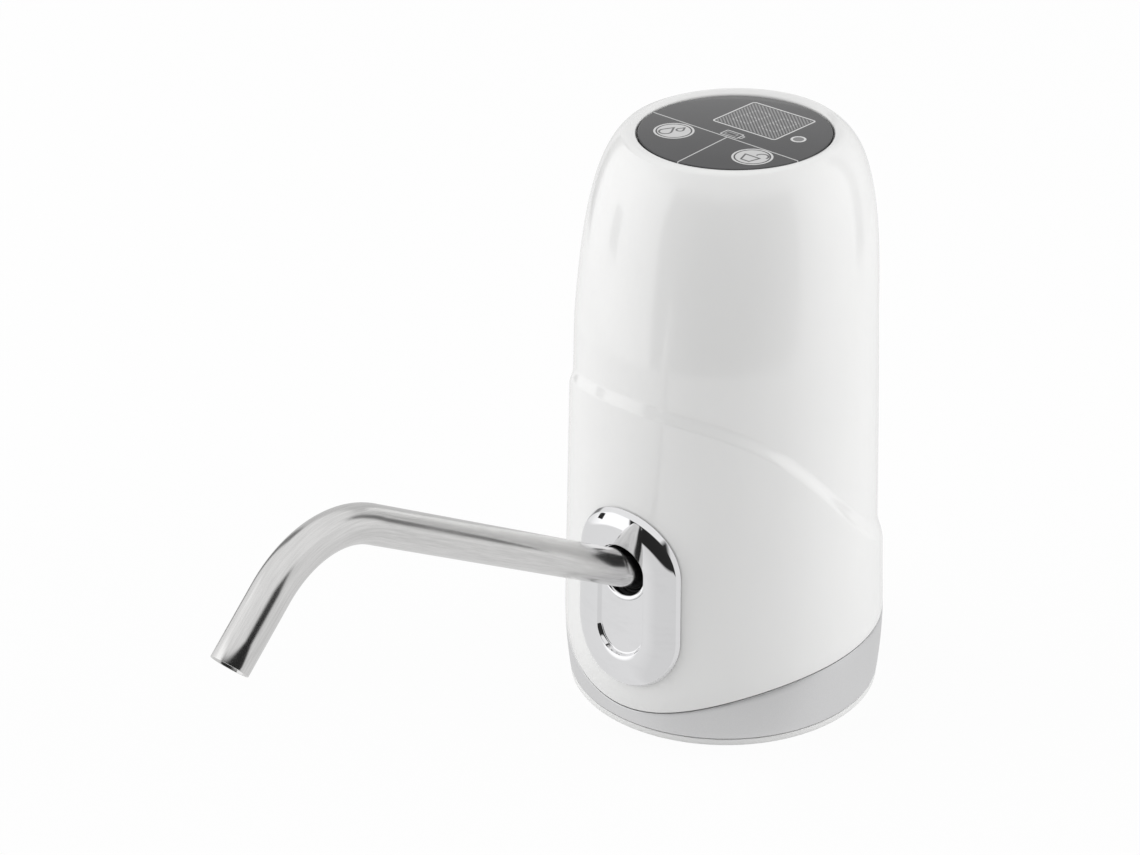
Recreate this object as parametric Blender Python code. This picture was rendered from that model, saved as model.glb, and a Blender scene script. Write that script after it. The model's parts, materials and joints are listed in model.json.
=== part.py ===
# Bottled water pump: a rechargeable pump that stands on the neck of a water bottle,
# draws water up through a nipple in its bottle socket and pours it from a bent steel spout.
# Lengths are in metres, +Z is up and the spout points to -Y.
# The origin is the middle of the bottle socket's ceiling, where the bottle's mouth ends.
# Every height with a name ending in _Z is measured up from the foot's lower face.

import math

import bmesh
import bpy
from mathutils import Vector

# Clearances that the fits share
SEAT = 0.0003
RUNNING = 0.00008
OVERRUN = 0.004
WELD = 0.000002
FULL_TURN = 2.0 * math.pi

# Body outline, lower stretch: a drafted cone that tucks in toward the foot
LOWER_RADIUS = 0.0404
LOWER_START_Z = 0.019
LOWER_DRAFT_SHARE = 0.0317
FOOT_TUCK = 0.0013

# Body outline, upper stretch: a drafted cone closed by a superellipse crown
SWEEP_STEP = 0.0020
UPPER_START_Z = 0.040
UPPER_DRAFT_SHARE = 0.020
CROWN_START_Z = 0.0359
CROWN_HEIGHT = 0.1141
CROWN_POWER = 5.73
RIM_CUT = 0.0025
CROWN_SETBACK = 0.0028
SETBACK_START_Z = 0.100

# Raised sweep that runs round the shell, high over the spout and low at the back
RELIEF_LOW_Z = 0.042
RELIEF_RISE = 0.050
RELIEF_TURN_DEGREES = 81.0
RELIEF_SPREAD_DEGREES = 17.5
RELIEF_FRONT_DROP = 0.0025
RELIEF_BACK_DROP = 0.0080
FRONT_TURN_DEGREES = 2.3

# Silver band round the foot
BAND_LOW_Z = 0.006
BAND_RISE = 0.0135
BAND_SPREAD_SHARE = 0.36
BAND_WALL = 0.0013

# Shell wall, panel recess and ledge
SHELL_WALL = 0.0022
CROWN_LIFT = 0.003
CROWN_LIFT_START_Z = 0.110
CROWN_LIFT_REACH = 0.030
RIM_ROUND = 0.0009
RIM_LAND = 0.0011
PANEL_THICKNESS = 0.0020
PANEL_SINK = 0.0017
PANEL_CHAMFER = 0.0003
LEDGE_WIDTH = 0.0031
LEDGE_THICKNESS = 0.0020
LEDGE_FILLET = 0.0011
SHELL_STEPS = 44

# Foot and bottle socket
FOOT_THICKNESS = 0.0018
FOOT_INSET = 0.0001
FOOT_CHAMFER = 0.0007
SOCKET_RADIUS = 0.0285
SOCKET_DEPTH = 0.020
SOCKET_WALL = 0.0020
SOCKET_CEILING = 0.0020
LOCATING_RIM_HEIGHT = 0.0045
LOCATING_RIM_WALL = 0.0016
GRIP_RING_WALL = 0.0009
GRIP_RING_LIP = 0.0004
GRIP_RING_START_Z = 0.0012
GRIP_RING_HEIGHT = 0.0135
GRIP_RING_LIPS = 2

# Pillars that carry the deck
PILLAR_RADIUS = 0.0032
PILLAR_PLACE_SHARES = ((-0.682, -0.348), (0.493, -0.580), (-0.673, 0.392))
PILOT_GAP = 0.00025
PILOT_DEPTH = 0.009

# Deck between the pump head and the motor
DECK_Z = 0.070
DECK_THICKNESS = 0.0020
DECK_GAP = 0.0011

# Self-tapping screw
SCREW_HEAD_RADIUS = 0.0024
SCREW_HEAD_HEIGHT = 0.0016
SCREW_SHANK_RADIUS = 0.0010
SCREW_SLOT_RADIUS = 0.0009
SCREW_SLOT_DEPTH = 0.0008
SCREW_LENGTH = 0.0075

# Spout: a steel tube on a line that slopes up out of the shell
SPOUT_RADIUS = 0.00455
SPOUT_WALL = 0.0006
SPOUT_RISE_DEGREES = 30.1
SPOUT_ROOT_Z = 0.0456
SPOUT_RUN = 0.1001
SPOUT_BEND_RADIUS = 0.02655
SPOUT_BEND_DEGREES = 71.8
SPOUT_TIP_LENGTH = 0.0178
SPOUT_INSERTION = 0.0200
SPOUT_BEND_STEPS = 10

# Collar, socket and seals round the spout
COLLAR_WALL = 0.0005
COLLAR_ROOT = 0.0090
COLLAR_REACH = 0.0090
COLLAR_LIP = 0.0002
SPOUT_GAP = 0.0010
SEAL_GAP = 0.0001
SEAL_OUTER_PLACE = -0.0055
SEAL_INNER_PLACE = -0.0140
SPOUT_SOCKET_WALL = 0.00245
SPOUT_SOCKET_LENGTH = 0.0150
SPOUT_SOCKET_FLOOR = 0.0020
SPOUT_BARB_PLACE = -0.0185
SPOUT_BARB_TOP_Z = 0.0525

# Chrome escutcheon round the spout
PLATE_HALF_WIDTH = 0.0156
PLATE_HALF_HEIGHT = 0.0240
PLATE_DROP = 0.0078
PLATE_EDGE_HEIGHT = 0.0009
PLATE_CREST_HEIGHT = 0.0025
PLATE_SHOULDER_HEIGHT = 0.0022
PLATE_BROW_HEIGHT = 0.0023
PLATE_FLOOR_HEIGHT = 0.0013
PLATE_EDGE_ROUND = 0.0006
PLATE_SHOULDER_INSET = 0.0024
PLATE_CREST_INSET = 0.0048
PLATE_BROW_INSET = 0.0088
PLATE_RECESS_INSET = 0.0091
PLATE_SPINE_INSET = 0.0150
PLATE_ARC_STEPS = 10
PLATE_SIDE_STEPS = 2

# Hoses and their barbed ports
HOSE_WALL = 0.0011
BARB_RADIUS = 0.0021
BARB_WALL = 0.0007
BARB_GRIP = 0.0045
BARB_RELIEF = 0.0004
HOSE_BEND_STEPS = 4

# Inlet nipple
NIPPLE_PLACE_SHARES = (-0.087, 0.261)
NIPPLE_RADIUS = 0.0045
NIPPLE_WALL = 0.0015
NIPPLE_DROP = 0.0135
NIPPLE_FLANGE_WIDTH = 0.0025
NIPPLE_FLANGE_THICKNESS = 0.0020
NIPPLE_NECK = 0.0085

# Gear pump under the deck
PUMP_PLACE_SHARES = (-0.232, 0.348)
GEAR_TEETH = 10
GEAR_PITCH_RADIUS = 0.0050
GEAR_ADDENDUM = 0.0008
GEAR_DEDENDUM = 0.0012
GEAR_BACKLASH = 0.0003
GEAR_HEIGHT = 0.0064
GEAR_ROOT_SHARE = 0.300
GEAR_FLANK_SHARE = 0.215
GEAR_TIP_SHARE = 0.110
CHAMBER_GAP = 0.0003
PUMP_BODY_HEIGHT = 0.0140
PUMP_LEFT_WALL = 0.0049
PUMP_RIGHT_WALL = 0.0011
PUMP_BODY_DEPTH = 0.0220
PUMP_CORNER = 0.0030
PUMP_SCREW_INSET = 0.0030
PUMP_COVER_THICKNESS = 0.0030
PUMP_GASKET_THICKNESS = 0.0006
PORT_REACH = 0.0052
PORT_RADIUS = 0.0015
PORT_COLLAR = 0.0065
OUTLET_REACH = 0.0060
OUTLET_HEIGHT_SHARE = 0.72
IDLER_PIN_RADIUS = 0.0010
SHAFT_SEAL_WALL = 0.00187
SEAL_POCKET_DEPTH = 0.0030
SHAFT_SEAL_HEIGHT = 0.0024

# Motor over the deck
MOTOR_RADIUS = 0.0122
MOTOR_WALL = 0.0010
MOTOR_CAN_HEIGHT = 0.0270
MOTOR_CAP_THICKNESS = 0.0026
MOTOR_SHAFT_RADIUS = 0.00115
MOTOR_SHAFT_STUB = 0.0010
MOTOR_NOSE_WALL = 0.0006
BUSH_WALL = 0.00125
BUSH_HEIGHT = 0.0030
MAGNET_WALL = 0.0016
MAGNET_HEIGHT = 0.0180
MAGNET_START = 0.0035
MAGNET_SPAN_DEGREES = 130.0
MAGNET_STEPS = 12
AIR_GAP = 0.0011
ARMATURE_HEIGHT = 0.0120
ARMATURE_START = 0.0065
SHOE_THICKNESS = 0.0016
SHOE_HALF_DEGREES = 50.0
POLE_HALF_WIDTH = 0.0012
POLES = 3
HUB_WALL = 0.00165
WINDING_END = 0.0014
COMMUTATOR_WALL = 0.00145
COMMUTATOR_HEIGHT = 0.0028
MOTOR_SCREW_INSET = 0.0042
TERMINAL_INSET = 0.0052
TERMINAL_WIDTH = 0.0024
TERMINAL_THICKNESS = 0.0006
TERMINAL_HEIGHT = 0.0045

# Battery
CELL_PLACE_SHARES = (0.580, 0.232)
CELL_RADIUS = 0.0091
CELL_HEIGHT = 0.0640
CELL_CAP_RADIUS = 0.0030
CELL_CAP_HEIGHT = 0.0010
CELL_CHAMFER = 0.0006
CRADLE_WALL = 0.0012
CRADLE_FLOOR = 0.0010
CRADLE_HEIGHT = 0.0080

# Control board and what it carries, set out from the panel's middle
FRAME_RING_HEIGHT = 0.0052
BOARD_THICKNESS = 0.0016
BOARD_GAP = 0.0020
FRAME_RING_WALL = 0.0040
DISPLAY_PLACE_SHARES = (0.013, 0.432)
DISPLAY_WIDTH = 0.0188
DISPLAY_DEPTH = 0.0154
DISPLAY_GAP = 0.0006
KEY_PLACE_SHARES = (0.517, -0.369)
SPRING_RADIUS = 0.0034
SPRING_WIRE = 0.0003
SPRING_TURNS = 3
SPRING_STEPS = 8
LED_PLACE_SHARES = (0.589, 0.263)
LED_RADIUS = 0.0015
LED_HEIGHT = 0.0060
LED_SKIRT = 0.0004
BUZZER_PLACE_SHARES = (-0.508, 0.339)
BUZZER_RADIUS = 0.0045
BUZZER_HEIGHT = 0.0040
BUZZER_HOLE = 0.0010
CHIP_SIDE = 0.0070
CHIP_THICKNESS = 0.0015
CHIP_CORNER = 0.0004
BOARD_SCREW_DEGREES = (100.0, 260.0)
BOARD_SCREW_INSET = 0.0019

# Charging board and socket at the back
CHARGE_WIDTH = 0.0120
CHARGE_HEIGHT = 0.0230
CHARGE_THICKNESS = 0.0012
USB_Z = 0.0380
USB_WIDTH = 0.0090
USB_HEIGHT = 0.0032
USB_WALL = 0.0004
USB_LENGTH = 0.0077
USB_BACK_WALL = 0.0007
USB_SINK = 0.0010
USB_SLOT_DEPTH = 0.0120
USB_TONGUE = 0.0007

# Leads, and where two of them pass through the deck
LEAD_RADIUS = 0.0006
LEAD_HOLE_GAP = 0.0007
CHARGE_LEAD_PLACE_SHARES = (0.058, 0.905)
POSITIVE_ROUTE_SHARES = ((0.52, 0.12, 0.41), (0.38, -0.17, 0.66), (0.29, -0.26, 1.0))
NEGATIVE_ROUTE_SHARES = ((0.46, -0.23, 0.66), (0.41, -0.35, 1.0))
LEFT_ROUTE_SHARES = ((-0.46, 0.29, 0.72), (-0.35, -0.12, 1.0))
RIGHT_ROUTE_SHARES = ((0.0, 0.17, 0.72), (-0.17, -0.23, 1.0))
CHARGE_ROUTE_SHARES = ((0.06, 0.87, 0.25), (0.03, 0.70, 0.72), (0.0, 0.55, 1.0))
CELL_LEAD_GAP = 0.0006
LEAD_SIDES = 5
LEAD_STEPS = 3

# Facets round a turned piece, by how large it is
STEPS_LARGE = 36
STEPS_MEDIUM = 24
STEPS_SMALL = 14
STEPS_TINY = 8
TUBE_SIDES = 16
SEAL_SIDES = 6
HOSE_SIDES = 8

# Places that follow from the sizes above
UPPER_RADIUS = LOWER_RADIUS - SWEEP_STEP
RIM_Z = CROWN_START_Z + CROWN_HEIGHT - RIM_CUT
PANEL_TOP_Z = RIM_Z - PANEL_SINK
FOOT_TOP_Z = FOOT_THICKNESS
CEILING_TOP_Z = SOCKET_DEPTH + SOCKET_CEILING
SKIRT_Z = FOOT_TOP_Z + SEAT
PANEL_SEAT_Z = PANEL_TOP_Z - PANEL_THICKNESS - SEAT
LEDGE_BOTTOM_Z = PANEL_SEAT_Z - LEDGE_THICKNESS
BOARD_Z = LEDGE_BOTTOM_Z - SEAT - FRAME_RING_HEIGHT - SEAT - BOARD_THICKNESS
DECK_TOP_Z = DECK_Z + DECK_THICKNESS
PUMP_BODY_Z = DECK_Z - SEAT - PUMP_BODY_HEIGHT
PUMP_GASKET_Z = PUMP_BODY_Z - SEAT - PUMP_GASKET_THICKNESS
PUMP_COVER_Z = PUMP_GASKET_Z - SEAT - PUMP_COVER_THICKNESS
GEAR_CENTRES = 2.0 * GEAR_PITCH_RADIUS + GEAR_BACKLASH
GEAR_Z = PUMP_BODY_Z + SEAT
CHAMBER_TOP_Z = GEAR_Z + GEAR_HEIGHT + SEAT
CHAMBER_RADIUS = GEAR_PITCH_RADIUS + GEAR_ADDENDUM + CHAMBER_GAP
PUMP_BODY_LEFT = CHAMBER_RADIUS + PUMP_LEFT_WALL
PUMP_BODY_RIGHT = GEAR_CENTRES + CHAMBER_RADIUS + PUMP_RIGHT_WALL
MOTOR_Z = DECK_TOP_Z + SEAT
SPOUT_TILT = math.radians(90.0 - SPOUT_RISE_DEGREES)
SPOUT_BORE = SPOUT_RADIUS + SPOUT_GAP
COLLAR_RADIUS = SPOUT_BORE + COLLAR_WALL
SPOUT_SOCKET_RADIUS = SPOUT_BORE + SPOUT_SOCKET_WALL
SEAL_WIRE = 0.5 * SPOUT_GAP - SEAL_GAP
PLATE_MIDDLE_Z = SPOUT_ROOT_Z - PLATE_DROP
HOSE_BORE = BARB_RADIUS + SEAT
HOSE_RADIUS = HOSE_BORE + HOSE_WALL
BARB_BORE = BARB_RADIUS - BARB_WALL
NIPPLE_BORE = NIPPLE_RADIUS - NIPPLE_WALL
NIPPLE_FLANGE_RADIUS = NIPPLE_RADIUS + NIPPLE_FLANGE_WIDTH
SEAL_POCKET_RADIUS = MOTOR_SHAFT_RADIUS + RUNNING + SHAFT_SEAL_WALL + SEAT
BUSH_RADIUS = MOTOR_SHAFT_RADIUS + BUSH_WALL
MOTOR_NOSE_RADIUS = BUSH_RADIUS + MOTOR_NOSE_WALL
COMMUTATOR_RADIUS = MOTOR_SHAFT_RADIUS + COMMUTATOR_WALL
HUB_RADIUS = MOTOR_SHAFT_RADIUS + HUB_WALL
ARMATURE_RADIUS = MOTOR_RADIUS - MOTOR_WALL - SEAT - MAGNET_WALL - AIR_GAP
MOTOR_SCREW_PLACE = MOTOR_RADIUS - MOTOR_SCREW_INSET
TERMINAL_PLACE = MOTOR_RADIUS - TERMINAL_INSET
PILOT_RADIUS = SCREW_SHANK_RADIUS + PILOT_GAP
LEAD_HOLE_RADIUS = LEAD_RADIUS + LEAD_HOLE_GAP
USB_DEPTH = USB_LENGTH - USB_BACK_WALL


def ease(t):
    t = min(max(t, 0.0), 1.0)
    return t * t * (3.0 - 2.0 * t)


def from_front(turn):
    """The angle from the spout's direction, 0 in front to pi at the back."""
    turn = turn % FULL_TURN
    return min(turn, FULL_TURN - turn)


def lower_radius(z):
    if z >= LOWER_START_Z:
        return LOWER_RADIUS - LOWER_DRAFT_SHARE * (z - LOWER_START_Z)
    return LOWER_RADIUS - FOOT_TUCK * ((LOWER_START_Z - z) / LOWER_START_Z) ** 2


def upper_radius(z):
    cone = UPPER_RADIUS - UPPER_DRAFT_SHARE * (z - UPPER_START_Z)
    rise = max(z - CROWN_START_Z, 0.0) / CROWN_HEIGHT
    return cone * (1.0 - rise ** CROWN_POWER) ** (1.0 / CROWN_POWER)


def from_shell_front(turn):
    """The angle from the shell's own front, which lies a little to the side of the spout."""
    return from_front(turn + math.radians(FRONT_TURN_DEGREES))


def relief_top(turn):
    past = math.degrees(from_shell_front(turn)) - RELIEF_TURN_DEGREES
    return RELIEF_LOW_Z + RELIEF_RISE / (1.0 + math.exp(past / RELIEF_SPREAD_DEGREES))


def relief_bottom(turn):
    back_share = 0.5 * (1.0 - math.cos(from_shell_front(turn)))
    return relief_top(turn) - RELIEF_FRONT_DROP - (RELIEF_BACK_DROP - RELIEF_FRONT_DROP) * back_share


def shell_radius(turn, z):
    low, high = relief_bottom(turn), relief_top(turn)
    share = ease((high - z) / (high - low))
    return upper_radius(z) + share * (lower_radius(z) - upper_radius(z))


def inner_radius(z):
    lift = CROWN_LIFT * max(z - CROWN_LIFT_START_Z, 0.0) / CROWN_LIFT_REACH
    return upper_radius(z + lift) - SHELL_WALL


def shared(radius, shares):
    """A place given as shares of a radius, across and to the back."""
    return (shares[0] * radius, shares[1] * radius)


# Places that follow from the body's outline
SPOUT_ROOT_RADIUS = lower_radius(SPOUT_ROOT_Z)
PANEL_RADIUS = upper_radius(RIM_Z) - RIM_LAND - SEAT
RECESS_RADIUS = PANEL_RADIUS + SEAT
LEDGE_RADIUS = RECESS_RADIUS - LEDGE_WIDTH
LEDGE_ROOT_RADIUS = inner_radius(LEDGE_BOTTOM_Z - CROWN_LIFT) - LEDGE_FILLET
BOARD_RADIUS = LEDGE_ROOT_RADIUS - BOARD_GAP
BOARD_SCREW_RADIUS = BOARD_RADIUS - BOARD_SCREW_INSET
DECK_RADIUS = inner_radius(DECK_TOP_Z) - DECK_GAP
NIPPLE_X, NIPPLE_Y = shared(DECK_RADIUS, NIPPLE_PLACE_SHARES)
PUMP_X, PUMP_Y = shared(DECK_RADIUS, PUMP_PLACE_SHARES)
CELL_X, CELL_Y = shared(DECK_RADIUS, CELL_PLACE_SHARES)
PILLAR_PLACES = tuple(shared(DECK_RADIUS, shares) for shares in PILLAR_PLACE_SHARES)
DISPLAY_X, DISPLAY_Y = shared(PANEL_RADIUS, DISPLAY_PLACE_SHARES)
KEY_X, KEY_Y = shared(PANEL_RADIUS, KEY_PLACE_SHARES)
LED_X, LED_Y = shared(PANEL_RADIUS, LED_PLACE_SHARES)
BUZZER_X, BUZZER_Y = shared(PANEL_RADIUS, BUZZER_PLACE_SHARES)
USB_REACH_Y = shell_radius(math.pi, USB_Z) - USB_SINK
CHARGE_Y = USB_REACH_Y - USB_LENGTH - SEAT - CHARGE_THICKNESS
CHARGE_LEAD_PLACE = shared(DECK_RADIUS, CHARGE_LEAD_PLACE_SHARES)
MESH_X = PUMP_X + 0.5 * GEAR_CENTRES


def clear_scene():
    for old in list(bpy.data.objects):
        bpy.data.objects.remove(old, do_unlink=True)


def finish(name, colour, roughness, metallic=0.0):
    material = bpy.data.materials.new(name)
    material.use_nodes = True
    shader = material.node_tree.nodes["Principled BSDF"]
    shader.inputs["Base Color"].default_value = (*colour, 1.0)
    shader.inputs["Roughness"].default_value = roughness
    shader.inputs["Metallic"].default_value = metallic
    material.diffuse_color = (*colour, 1.0)
    return material


def empty(name, parent, location, tilt=0.0):
    holder = bpy.data.objects.new(name, None)
    bpy.context.collection.objects.link(holder)
    holder.parent = parent
    holder.location = location
    holder.rotation_euler = (tilt, 0.0, 0.0)
    return holder


def piece(name, bm, material, parent, location=(0.0, 0.0, 0.0), sharp_degrees=35.0):
    """Turns a finished bmesh into a named object under its parent."""
    bmesh.ops.recalc_face_normals(bm, faces=bm.faces)
    mesh = bpy.data.meshes.new(name)
    bm.to_mesh(mesh)
    bm.free()
    mesh.shade_smooth()
    mesh.set_sharp_from_angle(angle=math.radians(sharp_degrees))
    thing = bpy.data.objects.new(name, mesh)
    bpy.context.collection.objects.link(thing)
    thing.parent = parent
    thing.location = location
    if material is not None:
        mesh.materials.append(material)
    return thing


def combine(target, tool, operation):
    """Cuts the tool from the target, or joins it to the target, and removes the tool."""
    tool.hide_render = True
    tool.display_type = "WIRE"
    modifier = target.modifiers.new(operation.title(), "BOOLEAN")
    modifier.operation = operation
    modifier.object = tool
    modifier.solver = "EXACT"
    bpy.context.view_layer.update()
    depsgraph = bpy.context.evaluated_depsgraph_get()
    mesh = bpy.data.meshes.new_from_object(target.evaluated_get(depsgraph))
    bm = bmesh.new()
    bm.from_mesh(mesh)
    bmesh.ops.remove_doubles(bm, verts=bm.verts, dist=WELD)
    bmesh.ops.dissolve_degenerate(bm, edges=bm.edges, dist=WELD)
    bm.to_mesh(mesh)
    bm.free()
    target.modifiers.clear()
    target.data = mesh
    bpy.data.objects.remove(tool, do_unlink=True)
    return target


def cut(target, tool):
    return combine(target, tool, "DIFFERENCE")


def join(target, tool):
    return combine(target, tool, "UNION")


def skin_rings(bm, rings, closed):
    """Joins rings of points with quads. A closed run joins the last ring to the first."""
    made = [[bm.verts.new(point) for point in ring] for ring in rings]
    pairs = list(zip(made, made[1:]))
    if closed:
        pairs.append((made[-1], made[0]))
    for near, far in pairs:
        for index in range(len(near)):
            after = (index + 1) % len(near)
            bm.faces.new((near[index], near[after], far[after], far[index]))
    return made


def turned(name, outline, steps, material, parent, location=(0.0, 0.0, 0.0)):
    """Turns a closed outline of (radius, height) points about the local Z axis."""
    bm = bmesh.new()
    rows = []
    for radius, height in outline:
        count = steps if radius > 0.0 else 1
        angles = [FULL_TURN * index / steps for index in range(count)]
        rows.append([bm.verts.new((radius * math.sin(a), -radius * math.cos(a), height)) for a in angles])
    for row, after in zip(rows, rows[1:] + rows[:1]):
        for index in range(steps):
            step = (index + 1) % steps
            corners = [row[index % len(row)], row[step % len(row)],
                       after[step % len(after)], after[index % len(after)]]
            corners = list(dict.fromkeys(corners))
            if len(corners) > 2:
                bm.faces.new(corners)
    return piece(name, bm, material, parent, location)


def rod(name, radius, low, high, steps, material, parent, location=(0.0, 0.0, 0.0)):
    outline = ((0.0, low), (radius, low), (radius, high), (0.0, high))
    return turned(name, outline, steps, material, parent, location)


def sleeve(name, bore, radius, low, high, steps, material, parent, location=(0.0, 0.0, 0.0)):
    outline = ((bore, low), (radius, low), (radius, high), (bore, high))
    return turned(name, outline, steps, material, parent, location)


def prism(name, outline, low, high, material, parent, location=(0.0, 0.0, 0.0)):
    """Extrudes a closed outline of (x, y) points from one height to another."""
    bm = bmesh.new()
    rings = [[Vector((x, y, height)) for x, y in outline] for height in (low, high)]
    made = skin_rings(bm, rings, closed=False)
    for ring in made:
        bm.faces.new(ring)
    return piece(name, bm, material, parent, location)


def arc(middle, radius, start_degrees, end_degrees, steps):
    angles = [math.radians(start_degrees + (end_degrees - start_degrees) * index / steps)
              for index in range(steps + 1)]
    return [(middle[0] + radius * math.cos(a), middle[1] + radius * math.sin(a)) for a in angles]


def rounded_rectangle(left, right, front, back, radius, steps=3):
    corners = ((right - radius, back - radius, 0.0), (left + radius, back - radius, 90.0),
               (left + radius, front + radius, 180.0), (right - radius, front + radius, 270.0))
    outline = []
    for x, y, start in corners:
        outline += arc((x, y), radius, start, start + 90.0, steps)
    return outline


def box(name, low, high, material, parent, location=(0.0, 0.0, 0.0)):
    outline = ((low[0], low[1]), (high[0], low[1]), (high[0], high[1]), (low[0], high[1]))
    return prism(name, outline, low[2], high[2], material, parent, location)


def smooth_route(places, steps):
    """Runs an even curve through the places, by Catmull and Rom's rule."""
    points = [Vector(place) for place in places]
    points = [2.0 * points[0] - points[1]] + points + [2.0 * points[-1] - points[-2]]
    route = []
    for a, b, c, d in zip(points, points[1:], points[2:], points[3:]):
        for index in range(steps):
            t = index / steps
            route.append(0.5 * (2.0 * b + (c - a) * t + (2.0 * a - 5.0 * b + 4.0 * c - d) * t ** 2
                                + (3.0 * b - 3.0 * c + d - a) * t ** 3))
    route.append(points[-2])
    return route


def ring_frames(route):
    """Carries a cross-section along the route without letting it twist."""
    tangents = []
    for index in range(len(route)):
        before = route[max(index - 1, 0)]
        after = route[min(index + 1, len(route) - 1)]
        tangents.append((after - before).normalized())
    side = tangents[0].orthogonal().normalized()
    frames = []
    for tangent in tangents:
        side = (side - tangent * side.dot(tangent)).normalized()
        frames.append((side, tangent.cross(side)))
    return frames


def pipe(name, route, radius, bore, sides, material, parent, location=(0.0, 0.0, 0.0)):
    """Sweeps a round section along the route. A bore of zero makes a solid wire."""
    bm = bmesh.new()
    frames = ring_frames(route)

    def ring(index, size):
        side, rise = frames[index]
        angles = [FULL_TURN * step / sides for step in range(sides)]
        return [route[index] + size * (math.cos(a) * side + math.sin(a) * rise) for a in angles]

    rings = [ring(index, radius) for index in range(len(route))]
    if bore > 0.0:
        rings += [ring(index, bore) for index in reversed(range(len(route)))]
        skin_rings(bm, rings, closed=True)
    else:
        made = skin_rings(bm, rings, closed=False)
        bm.faces.new(made[0])
        bm.faces.new(made[-1])
    return piece(name, bm, material, parent, location)


def band_top(turn):
    share = math.exp((math.cos(from_shell_front(turn)) - 1.0) / BAND_SPREAD_SHARE)
    return BAND_LOW_Z + BAND_RISE * (1.0 - share)


def setback(z):
    share = (z - SETBACK_START_Z) / (LEDGE_BOTTOM_Z - SETBACK_START_Z)
    return CROWN_SETBACK * min(max(share, 0.0), 1.0)


def spread(low, high, steps):
    return [low + (high - low) * (index + 1) / steps for index in range(steps)]


def shell_section(turn):
    """The shell's wall at one angle, as a closed loop of (radius, height) points."""
    joint = band_top(turn) + SEAT
    recess = BAND_WALL + SEAT
    loop = [(lower_radius(SKIRT_Z) - recess, SKIRT_Z), (lower_radius(joint) - recess, joint)]
    loop.append((lower_radius(joint), joint))
    low, high = relief_bottom(turn), relief_top(turn)
    heights = spread(joint, low, 3) + spread(low, high, 4) + spread(high, CROWN_LIFT_START_Z, 3)
    heights += [RIM_Z - (RIM_Z - CROWN_LIFT_START_Z) * (1.0 - share) ** 2 for share in spread(0.0, 1.0, 9)]
    loop += [(shell_radius(turn, z), z) for z in heights]
    loop += [(RECESS_RADIUS + 0.4 * RIM_ROUND, RIM_Z), (RECESS_RADIUS, RIM_Z - RIM_ROUND)]
    loop += [(RECESS_RADIUS, PANEL_SEAT_Z), (LEDGE_RADIUS, PANEL_SEAT_Z)]
    loop += [(LEDGE_RADIUS, LEDGE_BOTTOM_Z), (LEDGE_ROOT_RADIUS, LEDGE_BOTTOM_Z)]
    ceiling = LEDGE_BOTTOM_Z - CROWN_LIFT
    heights = [ceiling + (CROWN_LIFT_START_Z - ceiling) * share ** 1.5 for share in (0.0, 0.2, 0.5, 1.0)]
    loop += [(inner_radius(z), z) for z in heights + spread(CROWN_LIFT_START_Z, SKIRT_Z, 2)]
    return loop


def ring_points(loop, turn):
    return [Vector((r * math.sin(turn), setback(z) - r * math.cos(turn), z)) for r, z in loop]


def make_shell(material, frame, spout_axis):
    bm = bmesh.new()
    turns = [FULL_TURN * index / SHELL_STEPS for index in range(SHELL_STEPS)]
    skin_rings(bm, [ring_points(shell_section(turn), turn) for turn in turns], closed=True)
    shell = piece("housing_shell", bm, material, frame, sharp_degrees=30.0)
    cut(shell, rod("collar_hole", COLLAR_RADIUS + SEAT, -COLLAR_ROOT - OVERRUN, COLLAR_REACH,
                   STEPS_MEDIUM, None, spout_axis))
    half_width, half_height = 0.5 * USB_WIDTH + SEAT, 0.5 * USB_HEIGHT + SEAT
    slot = rounded_rectangle(-half_width, half_width, USB_Z - half_height, USB_Z + half_height,
                             0.8 * half_height)
    hole = prism("charge_slot", slot, -LOWER_RADIUS - OVERRUN, USB_SLOT_DEPTH - LOWER_RADIUS, None, frame)
    hole.rotation_euler = (math.radians(90.0), 0.0, 0.0)
    return cut(shell, hole)


def make_band(material, frame):
    """The silver band: flush with the shell, its upper edge sweeping up to the back."""
    rings = []
    for index in range(SHELL_STEPS):
        turn = FULL_TURN * index / SHELL_STEPS
        top = band_top(turn)
        heights = [SKIRT_Z] + spread(SKIRT_Z, top, 3)
        outer = [(lower_radius(z), z) for z in heights]
        inner = [(lower_radius(z) - BAND_WALL, z) for z in (top, SKIRT_Z)]
        rings.append(ring_points(outer + inner, turn))
    bm = bmesh.new()
    skin_rings(bm, rings, closed=True)
    return piece("base_ring", bm, material, frame)


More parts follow.
